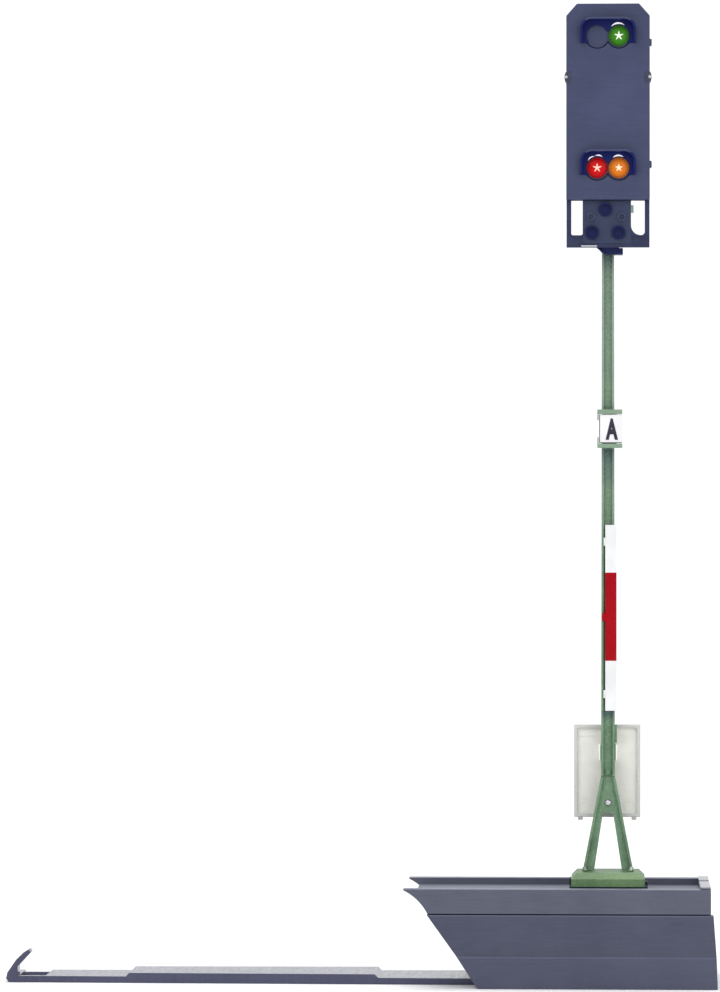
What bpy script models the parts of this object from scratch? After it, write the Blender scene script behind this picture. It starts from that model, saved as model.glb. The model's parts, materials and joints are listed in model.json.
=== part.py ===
"""Model railway colour-light signal on a track-clip base, about 1:87.

Frame: +X along the base away from the track, -Y towards the signal's face, +Z up. The origin is on the
underside of the base, straight below the mast. Lengths are in metres.
"""

import math

import bmesh
import bpy
from mathutils import Vector

MM = 0.001

# Driving dimensions ---------------------------------------------------------------------------------------
GAP = 0.04 * MM                 # clearance between two pieces that touch
RUNNING_GAP = 0.08 * MM         # clearance of a piece that slides

BASE_DEPTH = 16.2 * MM
BASE_WALL = 0.9 * MM
HOUSING_BAND_Z = 2.72 * MM      # the housing's side has a small step here
HOUSING_TOP_Z = 6.36 * MM
BAND_STEP = 0.1 * MM
HOUSING_LEFT = ((0.0, -11.2 * MM), (HOUSING_BAND_Z, -12.98 * MM), (HOUSING_TOP_Z, -15.59 * MM))
HOUSING_RIGHT = ((0.0, 9.41 * MM), (HOUSING_BAND_Z, 9.31 * MM), (HOUSING_TOP_Z, 9.05 * MM))

COVER_BOTTOM_Z = 6.46 * MM
COVER_TOP_Z = 8.56 * MM
COVER_DEPTH = 16.0 * MM
COVER_RIGHT_X = 8.83 * MM
COVER_FLOOR_Z = 8.0 * MM       # the channel between the two rims
COVER_SKIN = 0.8 * MM
RIM_WIDTH = 1.6 * MM
BEAK_CENTRE = (-19.54 * MM, 4.38 * MM)   # the cover's track end is a concave arc about this point
BEAK_RADIUS = 4.52 * MM
BEAK_TIP_Z = 8.46 * MM
CHANNEL_LEFT_X = -16.65 * MM

FLOOR_THICKNESS = 1.6 * MM
BOARD_Z = 2.65 * MM
BOARD_THICKNESS = 0.6 * MM
SCREW_PLACES = ((-6.6 * MM, -5.2 * MM), (6.3 * MM, 5.2 * MM))

ARM_HALF = (3.2 * MM, 4.1 * MM)   # half width at the hook, and at the base
HOOK_WIDTH = 2.0 * MM
ARM_THICKNESS = 0.57 * MM
ARM_RAISED = 0.88 * MM
ARM_RAISED_X = (-41.9 * MM, -20.2 * MM)
ARM_OUTER_X = -52.4 * MM
ARM_INNER_X = -11.58 * MM
TONGUE_WIDTH = 4.8 * MM
TONGUE_END_X = -3.6 * MM

FOOT_WIDTH = 6.38 * MM
FOOT_DEPTH = 7.0 * MM
FOOT_TOP_Z = 9.65 * MM
FOOT_CHAMFER = 0.50 * MM
PIN_SPACING = 2.4 * MM
PIN_RADIUS = 0.25 * MM

TRESTLE_TOP_Z = 17.9 * MM
CROTCH_Z = 14.75 * MM
TRESTLE_HALF = (2.19 * MM, 0.60 * MM)    # half width over the flanges at the foot, and at the top
LEG_INNER_HALF = (1.21 * MM, 0.44 * MM)  # half width of the gap at the foot, and at the crotch
FLANGE = 0.20 * MM
FLANGE_DEPTH = 1.30 * MM
WEB = 0.44 * MM

MAST_TOP_Z = 66.4 * MM
MAST_HALF_TOP = 0.52 * MM
LEAD_FOOT_X = -1.62 * MM
LEAD_Y = 0.45 * MM

LETTER_Z = (46.53 * MM, 49.88 * MM)
LETTER_X = (-0.93 * MM, 1.24 * MM)
SIGN_X = (-0.24 * MM, 0.74 * MM)
SIGN_Z = (23.65 * MM, 39.83 * MM)
SIGN_TABS = ((25.1 * MM, 0.16 * MM), (31.8 * MM, 0.27 * MM), (38.37 * MM, 0.14 * MM))   # height, reach

CABINET_X = (-2.96 * MM, 2.83 * MM)
CABINET_Z = (14.27 * MM, 22.36 * MM)
CABINET_Y = (1.15 * MM, 3.35 * MM)
CABINET_WALL = 0.30 * MM
CABINET_RECESS = 0.35 * MM

HEAD_HALF = 3.62 * MM
HEAD_TOP_Z = 85.1 * MM
SHIELD_BOTTOM_Z = 68.09 * MM
SHIELD_CORNER = (0.93 * MM, 1.05 * MM)
SHIELD_Y = (-2.5 * MM, -2.0 * MM)
FRAME_BOTTOM_Z = 63.95 * MM
FRAME_TOP_Z = 68.6 * MM
FRAME_Y = (-1.95 * MM, -1.5 * MM)

LAMP_ROWS = (70.83 * MM, 82.29 * MM)     # lens centres, lower and upper
LAMP_HALF_PITCH = 0.94 * MM
LENS_RADIUS = 0.86 * MM
BEZEL_RADIUS = 1.02 * MM
HOOD_HALF = 2.41 * MM
HOOD_ABOVE = 1.58 * MM                   # hood top above the lens centre
HOOD_BELOW = 0.62 * MM
HOOD_CORNER = 0.92 * MM
HOOD_WALL = 0.22 * MM
HOOD_REACH = 1.1 * MM

# Materials: colour, roughness, metallic -------------------------------------------------------------------
FINISHES = {
    "slate_plastic": ((0.075, 0.078, 0.125), 0.45, 0.0),
    "head_plastic": ((0.060, 0.060, 0.110), 0.50, 0.0),
    "mast_green": ((0.130, 0.230, 0.125), 0.55, 0.0),
    "ivory_plastic": ((0.780, 0.770, 0.700), 0.40, 0.0),
    "sign_white": ((0.850, 0.850, 0.850), 0.35, 0.0),
    "green_lens": ((0.050, 0.330, 0.030), 0.15, 0.0),
    "red_lens": ((0.650, 0.000, 0.020), 0.15, 0.0),
    "orange_lens": ((0.800, 0.220, 0.010), 0.15, 0.0),
    "board_green": ((0.020, 0.160, 0.060), 0.40, 0.0),
    "chip_black": ((0.015, 0.015, 0.017), 0.50, 0.0),
    "led_body": ((0.800, 0.780, 0.600), 0.30, 0.0),
    "brass": ((0.700, 0.480, 0.170), 0.30, 1.0),
    "steel": ((0.550, 0.550, 0.560), 0.35, 1.0),
    "copper_enamel": ((0.450, 0.130, 0.050), 0.35, 0.6),
}
COLLECTIONS = {}


# Modelling helpers ----------------------------------------------------------------------------------------
def start_scene():
    for old in list(bpy.data.objects):
        bpy.data.objects.remove(old, do_unlink=True)
    for name in ("colour_light_signal", "cutters"):
        COLLECTIONS[name] = bpy.data.collections.new(name)
        bpy.context.scene.collection.children.link(COLLECTIONS[name])


def finish_material(name):
    material = bpy.data.materials.get(name)
    if material is None:
        colour, roughness, metallic = FINISHES[name]
        material = bpy.data.materials.new(name)
        material.use_nodes = True
        shader = material.node_tree.nodes["Principled BSDF"]
        shader.inputs["Base Color"].default_value = (*colour, 1.0)
        shader.inputs["Roughness"].default_value = roughness
        shader.inputs["Metallic"].default_value = metallic
    return material


def place_in(obj, collection):
    for current in list(obj.users_collection):
        current.objects.unlink(obj)
    COLLECTIONS[collection].objects.link(obj)


def as_part(obj, name, finish):
    obj.name = name
    obj.data.name = name
    obj.data.materials.clear()
    obj.data.materials.append(finish_material(finish))
    place_in(obj, "colour_light_signal")
    return obj


def as_tool(obj):
    """A cutter or a shape to be joined on: it isn't a part itself."""
    obj.hide_render = True
    obj.display_type = "WIRE"
    place_in(obj, "cutters")
    return obj


def block(x, y, z):
    """A box between two values on each axis."""
    centre = [(low + high) / 2 for low, high in (x, y, z)]
    bpy.ops.mesh.primitive_cube_add(size=1, location=centre)
    obj = bpy.context.object
    obj.scale = [high - low for low, high in (x, y, z)]
    bpy.ops.object.transform_apply(location=False, rotation=False, scale=True)
    return obj


def rod(radius, start, end, sides=16):
    """A cylinder from one point to another."""
    start, end = Vector(start), Vector(end)
    bpy.ops.mesh.primitive_cylinder_add(
        vertices=sides, radius=radius, depth=(end - start).length, location=(start + end) / 2
    )
    obj = bpy.context.object
    obj.rotation_euler = (end - start).to_track_quat("Z", "Y").to_euler()
    bpy.ops.object.transform_apply(location=False, rotation=True, scale=False)
    return obj


def slab(outline, span, holes=(), turn=0):
    """A flat outline of (x, z) points, with holes, standing upright between two values of y.

    With turn at 90 the points are (y, z), and it stands between two values of x.
    """
    middle = (span[0] + span[1]) / 2
    data = bpy.data.curves.new("outline", "CURVE")
    data.dimensions = "2D"
    data.fill_mode = "BOTH"
    data.extrude = (span[1] - span[0]) / 2
    for points in (outline, *holes):
        spline = data.splines.new("POLY")
        spline.points.add(len(points) - 1)
        for point, (x, z) in zip(spline.points, points):
            point.co = (x, z, 0, 1)
        spline.use_cyclic_u = True
    obj = bpy.data.objects.new("outline", data)
    obj.location = (middle, 0, 0) if turn else (0, middle, 0)
    obj.rotation_euler = (math.pi / 2, 0, math.radians(turn))
    bpy.context.scene.collection.objects.link(obj)
    return obj


def as_mesh(obj):
    """The curve object's solid as a mesh object, with its caps welded on."""
    bpy.context.view_layer.update()
    evaluated = obj.evaluated_get(bpy.context.evaluated_depsgraph_get())
    data = bpy.data.meshes.new_from_object(evaluated)
    work = bmesh.new()
    work.from_mesh(data)
    bmesh.ops.remove_doubles(work, verts=work.verts, dist=0.001 * MM)
    bmesh.ops.recalc_face_normals(work, faces=work.faces)
    work.to_mesh(data)
    work.free()
    made = bpy.data.objects.new("solid", data)
    made.matrix_world = obj.matrix_world.copy()
    bpy.context.scene.collection.objects.link(made)
    bpy.data.objects.remove(obj, do_unlink=True)
    return made


def plate(outline, span, holes=(), turn=0):
    return as_mesh(slab(outline, span, holes, turn))


def combine(obj, tools, operation):
    for tool in tools:
        modifier = obj.modifiers.new(operation.lower(), "BOOLEAN")
        modifier.operation = operation
        modifier.solver = "EXACT"
        modifier.object = as_tool(tool)
    return obj


def cut(obj, *tools):
    return combine(obj, tools, "DIFFERENCE")


def join(obj, *tools):
    return combine(obj, tools, "UNION")


def chamfer_top(obj, width):
    """Bevels the edges of the highest face."""
    work = bmesh.new()
    work.from_mesh(obj.data)
    top = max(vertex.co.z for vertex in work.verts)
    edges = [
        edge for edge in work.edges if all(abs(vertex.co.z - top) < GAP / 10 for vertex in edge.verts)
    ]
    bmesh.ops.bevel(work, geom=edges, offset=width, segments=1, affect="EDGES", profile=0.5)
    work.to_mesh(obj.data)
    work.free()
    return obj


def arc(centre, radius, start, end, steps):
    """Points of an arc, from one angle in degrees to another, ends included."""
    angles = [math.radians(start + (end - start) * i / steps) for i in range(steps + 1)]
    return [(centre[0] + radius * math.cos(a), centre[1] + radius * math.sin(a)) for a in angles]


def circle(centre, radius, sides=16):
    return arc(centre, radius, 0, 360 - 360 / sides, sides - 1)


def rectangle(x, z):
    return [(x[0], z[0]), (x[1], z[0]), (x[1], z[1]), (x[0], z[1])]


def rounded_rectangle(x, z, radius, steps=3):
    points = []
    corners = (
        ((x[0] + radius, z[0] + radius), 180),
        ((x[1] - radius, z[0] + radius), 270),
        ((x[1] - radius, z[1] - radius), 0),
        ((x[0] + radius, z[1] - radius), 90),
    )
    for centre, start in corners:
        points += arc(centre, radius, start, start + 90, steps)
    return points


def along(corners, z):
    """The x at height z on a line through (z, x) corners, carried on past its ends."""
    pairs = list(zip(corners, corners[1:]))
    (z0, x0), (z1, x1) = next((pair for pair in pairs if z <= pair[1][0]), pairs[-1])
    return x0 + (x1 - x0) * (z - z0) / (z1 - z0)


def both_sides(half):
    return (-half, half)


# Base -----------------------------------------------------------------------------------------------------
def housing_outline(low, high, inset=0):
    """The housing's side view between two heights, drawn in by inset along X."""
    heights = sorted({low, high} | ({HOUSING_BAND_Z} if low < HOUSING_BAND_Z < high else set()))
    left = [(along(HOUSING_LEFT, z) + inset, z) for z in heights]
    right = [(along(HOUSING_RIGHT, z) - inset, z) for z in heights]
    return left[::-1] + right


def make_base_housing():
    lower = plate(housing_outline(0, HOUSING_BAND_Z), both_sides(BASE_DEPTH / 2))
    upper_outline = housing_outline(HOUSING_BAND_Z - 0.2 * MM, HOUSING_TOP_Z)
    upper = plate(upper_outline, both_sides(BASE_DEPTH / 2 - BAND_STEP))
    inner_half = BASE_DEPTH / 2 - BASE_WALL
    hollow = plate(housing_outline(-MM, HOUSING_TOP_Z + MM, BASE_WALL), both_sides(inner_half))
    arm_slot = block((-14 * MM, -8 * MM), both_sides(TONGUE_WIDTH / 2 + RUNNING_GAP), (-MM, 0.62 * MM))
    inlet = block((-2.4 * MM, 2.4 * MM), (inner_half - MM, BASE_DEPTH), (3.7 * MM, 5.5 * MM))
    join(lower, upper)
    rebate = block((COVER_RIGHT_X - 0.01 * MM, 12 * MM), (-inner_half + 0.1 * MM, 12 * MM),
                   (5.35 * MM, 12 * MM))
    cut(lower, hollow, arm_slot, inlet, rebate)
    ledge_z = (BOARD_Z - GAP - 0.5 * MM, BOARD_Z - GAP)
    for side in (-1, 1):
        ledge_y = sorted((side * (inner_half - 0.55 * MM), side * (inner_half + 0.3 * MM)))
        join(lower, block((-10 * MM, 7.4 * MM), ledge_y, ledge_z))
    return as_part(lower, "base_housing", "slate_plastic")


def beak_outline():
    """The cover's side view: a concave track end that runs out to a thin tip."""
    start = math.degrees(math.asin((COVER_BOTTOM_Z - BEAK_CENTRE[1]) / BEAK_RADIUS))
    end = math.degrees(math.asin((BEAK_TIP_Z - BEAK_CENTRE[1]) / BEAK_RADIUS))
    curve = arc(BEAK_CENTRE, BEAK_RADIUS, start, end, 8)
    tip = (curve[-1][0], COVER_TOP_Z)
    return [*curve, tip, (COVER_RIGHT_X, COVER_TOP_Z), (COVER_RIGHT_X, COVER_BOTTOM_Z)]


def make_base_cover():
    cover = plate(beak_outline(), both_sides(COVER_DEPTH / 2))
    channel_y = both_sides(COVER_DEPTH / 2 - RIM_WIDTH)
    ceiling_z = COVER_FLOOR_Z - COVER_SKIN
    lip_half = BASE_DEPTH / 2 - BASE_WALL - 0.1 * MM
    inner_left, inner_right = -13.7 * MM, COVER_RIGHT_X - BASE_WALL
    lip_z = (COVER_BOTTOM_Z - 0.7 * MM, COVER_BOTTOM_Z + 0.3 * MM)
    lip = block((inner_left - 0.35 * MM, inner_right + 0.02 * MM), both_sides(lip_half), lip_z)
    hollow = block((inner_left + 0.3 * MM, inner_right - 0.4 * MM), both_sides(lip_half - 0.4 * MM),
                   (lip_z[0] - MM, ceiling_z))
    join(cover, lip)
    cut(
        cover,
        block((CHANNEL_LEFT_X, 12 * MM), channel_y, (COVER_FLOOR_Z, 10 * MM)),
        block((-20 * MM, CHANNEL_LEFT_X), channel_y, (COVER_BOTTOM_Z - 0.5 * MM, 10 * MM)),
        hollow,
    )
    for x, y in SCREW_PLACES:
        pillar_z = (BOARD_Z - 0.95 * MM, ceiling_z + 0.2 * MM)
        join(cover, rod(1.1 * MM, (x, y, pillar_z[0]), (x, y, pillar_z[1])))
        cut(cover, rod(0.45 * MM, (x, y, 0), (x, y, 5.2 * MM), 12))
    pin_room = PIN_SPACING / 2 + PIN_RADIUS + 0.4 * MM
    cut(cover, block(both_sides(pin_room), both_sides(pin_room), (6 * MM, 9 * MM)))
    return as_part(cover, "base_cover", "slate_plastic")


def make_base_floor():
    outline = housing_outline(0, FLOOR_THICKNESS, BASE_WALL + RUNNING_GAP)
    half = BASE_DEPTH / 2 - BASE_WALL - RUNNING_GAP
    floor = plate(outline, both_sides(half))
    channel = block((-14 * MM, TONGUE_END_X + 0.3 * MM), both_sides(TONGUE_WIDTH / 2 + RUNNING_GAP),
                    (-MM, 0.62 * MM))
    pocket = block((-8.1 * MM, -4.3 * MM), both_sides(0.75 * MM), (0.5 * MM, 1.0 * MM))
    cut(floor, channel, pocket)
    for x, y in SCREW_PLACES:
        cut(floor, rod(0.60 * MM, (x, y, -MM), (x, y, 3 * MM), 12))
        cut(floor, rod(1.05 * MM, (x, y, -MM), (x, y, 0.75 * MM), 16))
    return as_part(floor, "base_floor", "slate_plastic")


def make_floor_screw(name, x, y):
    screw = rod(0.95 * MM, (x, y, 0.2 * MM), (x, y, 0.70 * MM), 16)
    join(screw, rod(0.40 * MM, (x, y, 0.5 * MM), (x, y, 4.6 * MM), 10))
    cut(
        screw,
        block((x - 0.6 * MM, x + 0.6 * MM), (y - 0.12 * MM, y + 0.12 * MM), (-MM, 0.42 * MM)),
        block((x - 0.12 * MM, x + 0.12 * MM), (y - 0.6 * MM, y + 0.6 * MM), (-MM, 0.42 * MM)),
    )
    return as_part(screw, name, "steel")


def make_circuit_board():
    top = BOARD_Z + BOARD_THICKNESS
    board = block((-9.6 * MM, 7.8 * MM), both_sides(BASE_DEPTH / 2 - BASE_WALL - 0.15 * MM), (BOARD_Z, top))
    for x, y in SCREW_PLACES:
        cut(board, rod(1.25 * MM, (x, y, 0), (x, y, 5 * MM), 16))
    return as_part(board, "circuit_board", "board_green")


def make_board_components():
    z = BOARD_Z + BOARD_THICKNESS + GAP
    chip = block((-8.6 * MM, -3.6 * MM), (-2.6 * MM, 1.2 * MM), (z, z + 1.4 * MM))
    as_part(chip, "driver_chip", "chip_black")
    as_part(block((3.4 * MM, 6.2 * MM), (-5.6 * MM, -3.0 * MM), (z, z + 1.2 * MM)), "bridge_rectifier",
            "chip_black")
    as_part(rod(1.45 * MM, (5.2 * MM, 0.6 * MM, z), (5.2 * MM, 0.6 * MM, z + 3.0 * MM), 20),
            "smoothing_capacitor", "steel")
    for index, x in enumerate((-8.0 * MM, -5.6 * MM)):
        body = block((x, x + 0.85 * MM), (2.9 * MM, 4.5 * MM), (z, z + 0.45 * MM))
        as_part(body, f"resistor_{index + 1}", "chip_black")


def make_terminal_block():
    z = BOARD_Z + BOARD_THICKNESS + GAP
    y = (3.9 * MM, BASE_DEPTH / 2 - BASE_WALL - 0.2 * MM)
    body = block(both_sides(2.3 * MM), y, (z, z + 2.3 * MM))
    for x in (-1.4 * MM, 0.0, 1.4 * MM):
        cut(body, rod(0.42 * MM, (x, y[0] + MM, z + 1.25 * MM), (x, y[1] + MM, z + 1.25 * MM), 12))
    return as_part(body, "terminal_block", "ivory_plastic")


def pin_places():
    half = PIN_SPACING / 2
    return [(x, y) for x in (-half, half) for y in (-half, half)]


def make_mast_socket():
    z = BOARD_Z + BOARD_THICKNESS + GAP
    top = COVER_FLOOR_Z - COVER_SKIN - GAP
    body = block(both_sides(2.25 * MM), both_sides(2.25 * MM), (z, top))
    for x, y in pin_places():
        cut(body, rod(PIN_RADIUS + 0.06 * MM, (x, y, top - 3.1 * MM), (x, y, top + MM), 12))
    return as_part(body, "mast_socket", "chip_black")


def make_arm_latch():
    """A leaf spring in the floor's pocket, which bears on the arm's tongue."""
    low, high = 0.56 * MM, 0.66 * MM
    outline = [
        (-8.0 * MM, high + 0.2 * MM), (-7.3 * MM, high + 0.2 * MM), (-6.0 * MM, low + 0.1 * MM),
        (-4.9 * MM, high + 0.1 * MM), (-4.5 * MM, high + 0.3 * MM), (-4.5 * MM, high + 0.2 * MM),
        (-4.9 * MM, high), (-6.0 * MM, low), (-7.3 * MM, high + 0.1 * MM), (-8.0 * MM, high + 0.1 * MM),
    ]
    return as_part(plate(outline, both_sides(0.6 * MM)), "arm_latch", "brass")


def make_end_clip():
    """The snap piece that closes the cover's channel at its outer end."""
    half = COVER_DEPTH / 2 - RIM_WIDTH - GAP
    x = (7.93 * MM, COVER_RIGHT_X - 0.02 * MM)
    z = (COVER_FLOOR_Z + GAP, COVER_TOP_Z + 0.22 * MM)
    clip = block(x, both_sides(half), z)
    groove_z = (COVER_TOP_Z - 0.05 * MM, COVER_TOP_Z + MM)
    cut(clip, block((x[0] - MM, x[1] + MM), (-0.1 * MM, 1.0 * MM), groove_z))
    return as_part(clip, "end_clip", "slate_plastic")


# Track arm ------------------------------------------------------------------------------------------------
def make_track_arm():
    """A flat bar that widens towards the base, with a see-through slot beside its leaning hook."""
    left, right = ARM_RAISED_X
    ramp = 0.3 * MM
    outline = [
        (-52.15 * MM, 0.0), (ARM_INNER_X, 0.0), (ARM_INNER_X, ARM_THICKNESS),
        (right + ramp, ARM_THICKNESS), (right, ARM_RAISED), (left + ramp, ARM_RAISED), (left, ARM_THICKNESS),
        (-52.2 * MM, ARM_THICKNESS), (ARM_OUTER_X, 0.4 * MM),
    ]
    arm = plate(outline, both_sides(ARM_HALF[0]))
    growth = ARM_HALF[1] / ARM_HALF[0] - 1
    for vertex in arm.data.vertices:
        vertex.co.z *= 1 + growth * (vertex.co.x - ARM_OUTER_X) / (ARM_INNER_X - ARM_OUTER_X)
    slot_x = (-51.3 * MM, -48.95 * MM)
    rail = ARM_HALF[0] - 0.55 * MM
    cut(arm, block(slot_x, both_sides(rail), (-MM, 2 * MM)))
    cut(arm, block(slot_x, (rail - 0.1 * MM, 5 * MM), (0.40 * MM, 2 * MM)))
    hook = [
        (-52.1 * MM, 0.1 * MM), (-51.35 * MM, 0.1 * MM), (-51.35 * MM, 1.40 * MM), (-50.25 * MM, 2.57 * MM),
        (-50.4 * MM, 2.86 * MM), (-50.85 * MM, 2.60 * MM), (-51.5 * MM, 1.96 * MM), (-52.27 * MM, 0.85 * MM),
        (-52.35 * MM, 0.4 * MM),
    ]
    tongue = block((ARM_INNER_X - 0.6 * MM, TONGUE_END_X), both_sides(TONGUE_WIDTH / 2),
                   (0.0, ARM_THICKNESS - 0.02 * MM))
    join(arm, plate(hook, (-ARM_HALF[0], -ARM_HALF[0] + HOOK_WIDTH)), tongue)
    return as_part(arm, "track_arm", "slate_plastic")


# Mast -----------------------------------------------------------------------------------------------------
def make_foot_plate():
    z = (COVER_FLOOR_Z + GAP, FOOT_TOP_Z)
    foot = chamfer_top(block(both_sides(FOOT_WIDTH / 2), both_sides(FOOT_DEPTH / 2), z), FOOT_CHAMFER)
    for x, y in pin_places():
        cut(foot, rod(PIN_RADIUS + 0.02 * MM, (x, y, z[0] - MM), (x, y, z[0] + 0.8 * MM), 12))
    cut(foot, rod(0.22 * MM, (LEAD_FOOT_X, LEAD_Y, z[1] - 0.9 * MM), (LEAD_FOOT_X, LEAD_Y, z[1] + MM), 12))
    return as_part(foot, "foot_plate", "mast_green")


def make_plug_pins():
    low, high = 4.5 * MM, COVER_FLOOR_Z + 0.8 * MM
    for index, (x, y) in enumerate(pin_places()):
        as_part(rod(PIN_RADIUS, (x, y, low), (x, y, high), 12), f"plug_pin_{index + 1}", "brass")


def flange_outline(side, low, high, halves, thickness):
    """One sloping flange in front view: halves are its outer half widths at low and at high."""
    outer = [(side * half, z) for half, z in zip(halves, (low, high))]
    inner = [(x - side * thickness, z) for x, z in outer]
    return [*outer, *inner[::-1]]


def make_trestle():
    low = FOOT_TOP_Z + GAP
    foot_half, top_half = TRESTLE_HALF
    outline = [
        (-foot_half, low), (-LEG_INNER_HALF[0], low), (-LEG_INNER_HALF[1], CROTCH_Z),
        (LEG_INNER_HALF[1], CROTCH_Z), (LEG_INNER_HALF[0], low), (foot_half, low),
        (top_half, TRESTLE_TOP_Z), (-top_half, TRESTLE_TOP_Z),
    ]
    hole = circle((0, 15.6 * MM), 0.31 * MM, 12)
    trestle = plate(outline, both_sides(WEB / 2), [hole])
    for side in (-1, 1):
        strip = flange_outline(side, low, TRESTLE_TOP_Z, TRESTLE_HALF, FLANGE)
        join(trestle, plate(strip, both_sides(FLANGE_DEPTH / 2)))
    tongue_slot = block(both_sides(0.28 * MM), both_sides(0.10 * MM), (16.3 * MM, 19 * MM))
    cut(trestle, tongue_slot)
    return as_part(trestle, "trestle", "mast_green")


def make_foot_bolts():
    places = [(x, y) for x in (-2.0 * MM, 2.0 * MM) for y in (-1.05 * MM, 1.05 * MM)]
    low = FOOT_TOP_Z + GAP
    for index, (x, y) in enumerate(places):
        bolt = rod(0.27 * MM, (x, y, low), (x, y, low + 0.22 * MM), 6)
        join(bolt, rod(0.14 * MM, (x, y, low + 0.1 * MM), (x, y, low + 0.42 * MM), 8))
        as_part(bolt, f"foot_bolt_{index + 1}", "mast_green")


def mast_half(z):
    share = (z - TRESTLE_TOP_Z) / (MAST_TOP_Z - TRESTLE_TOP_Z)
    return TRESTLE_HALF[1] + (MAST_HALF_TOP - TRESTLE_HALF[1]) * share


def make_mast_post():
    low = TRESTLE_TOP_Z + GAP
    halves = (mast_half(low), mast_half(MAST_TOP_Z))
    web = [(-halves[0], low), (halves[0], low), (halves[1], MAST_TOP_Z), (-halves[1], MAST_TOP_Z)]
    mast = plate(web, both_sides(WEB / 2))
    for side in (-1, 1):
        strip = flange_outline(side, low, MAST_TOP_Z, halves, FLANGE)
        join(mast, plate(strip, both_sides(FLANGE_DEPTH / 2)))
    foot_tongue = block(both_sides(0.25 * MM), both_sides(0.07 * MM), (16.4 * MM, 19 * MM))
    bolt_z = 18.25 * MM
    bolt_pad = block(both_sides(0.28 * MM), (-WEB / 2 - 0.10 * MM, 0),
                     (bolt_z - 0.27 * MM, bolt_z + 0.27 * MM))
    bolt = rod(0.17 * MM, (0, -WEB / 2 - 0.22 * MM, bolt_z), (0, 0, bolt_z), 10)
    guide_inner = mast_half(20 * MM) - 0.1 * MM
    cable_guide = block((guide_inner, guide_inner + 0.28 * MM), (-0.4 * MM, 0.5 * MM),
                        (20.85 * MM, 22.4 * MM))
    join(mast, foot_tongue, bolt_pad, bolt, cable_guide)
    return as_part(mast, "mast_post", "mast_green")


def make_letter_holder():
    front, back = -1.45 * MM, -FLANGE_DEPTH / 2 - GAP
    low, high = LETTER_Z
    spine = block((-0.45 * MM, 0.75 * MM), (back - 0.25 * MM, back), (low, high))
    for z in ((low, low + 0.38 * MM), (high - 0.40 * MM, high)):
        join(spine, block(LETTER_X, (front, back - 0.1 * MM), z))
    arm_x = (LETTER_X[0], LETTER_X[0] + 0.12 * MM)
    for z in ((low + 0.2 * MM, low + 0.95 * MM), (high - 0.95 * MM, high - 0.2 * MM)):
        join(spine, block(arm_x, (front, front + 0.3 * MM), z))
    return as_part(spine, "letter_holder", "mast_green")


def make_letter_plate():
    back = -FLANGE_DEPTH / 2 - 0.30 * MM - GAP
    z = (LETTER_Z[0] + 0.42 * MM, LETTER_Z[1] - 0.44 * MM)
    x = (LETTER_X[0] + 0.16 * MM, LETTER_X[1])
    return as_part(block(x, (back - 0.34 * MM, back), z), "letter_plate", "sign_white")


def make_mast_sign():
    back = -FLANGE_DEPTH / 2 - GAP
    y = (back - 0.32 * MM, back)
    sign = block(SIGN_X, (y[0], y[1] - 0.05 * MM), SIGN_Z)
    for z, reach in SIGN_TABS:
        tab_x = (SIGN_X[0] - reach, SIGN_X[0] + 0.1 * MM)
        join(sign, block(tab_x, (y[0] + 0.08 * MM, y[1]), (z - 0.35 * MM, z + 0.35 * MM)))
    return as_part(sign, "mast_sign", "sign_white")


def make_cabinet():
    """A flat box with a sunk face towards the mast and two short feet."""
    (x0, x1), (y0, y1), (z0, z1) = CABINET_X, CABINET_Y, CABINET_Z
    wall = CABINET_WALL
    shell = block(CABINET_X, CABINET_Y, CABINET_Z)
    cut(shell, block((x0 + wall, x1 - wall), (y0 - MM, y0 + CABINET_RECESS), (z0 + wall, z1 - wall)))
    for x in (x0 + 0.55 * MM, x1 - 0.55 * MM):
        foot = block((x - 0.22 * MM, x + 0.22 * MM), (y0 + 0.8 * MM, y0 + 1.3 * MM),
                     (z0 - 0.3 * MM, z0 + 0.1 * MM))
        join(shell, foot)
    return as_part(shell, "cabinet", "ivory_plastic")


def make_cabinet_clip():
    """The clip that holds the cabinet to the mast's flanges."""
    z = (19.3 * MM, 20.7 * MM)
    half = mast_half(z[0]) + GAP
    back = CABINET_Y[0] + CABINET_RECESS - GAP
    clip = block(both_sides(half + 0.18 * MM), (-0.45 * MM, back), z)
    cut(clip, block(both_sides(half), (-2 * MM, 0.95 * MM), (z[0] - MM, z[1] + MM)))
    return as_part(clip, "cabinet_clip", "ivory_plastic")


def make_lamp_leads():
    """The bundle of lamp leads: up a leg's rear channel and the mast's, from the foot to the lamp board."""
    y = LEAD_Y
    points = [
        (LEAD_FOOT_X, y, FOOT_TOP_Z - 0.8 * MM), (LEAD_FOOT_X, y, FOOT_TOP_Z), (-0.76 * MM, y, 14.7 * MM),
        (-0.52 * MM, y, 15.8 * MM), (-0.12 * MM, y, 17.2 * MM), (0, y, 18.5 * MM), (0, y, 40 * MM),
        (0, y, MAST_TOP_Z), (0, y + 0.05 * MM, 68.2 * MM), (0, y + 0.05 * MM, 69.6 * MM),
    ]
    data = bpy.data.curves.new("lamp_leads", "CURVE")
    data.dimensions = "3D"
    data.bevel_depth = 0.15 * MM
    data.bevel_resolution = 1
    data.use_fill_caps = True
    spline = data.splines.new("POLY")
    spline.points.add(len(points) - 1)
    for point, place in zip(spline.points, points):
        point.co = (*place, 1)
    obj = bpy.data.objects.new("lamp_leads", data)
    bpy.context.scene.collection.objects.link(obj)
    return as_part(obj, "lamp_leads", "copper_enamel")


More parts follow.
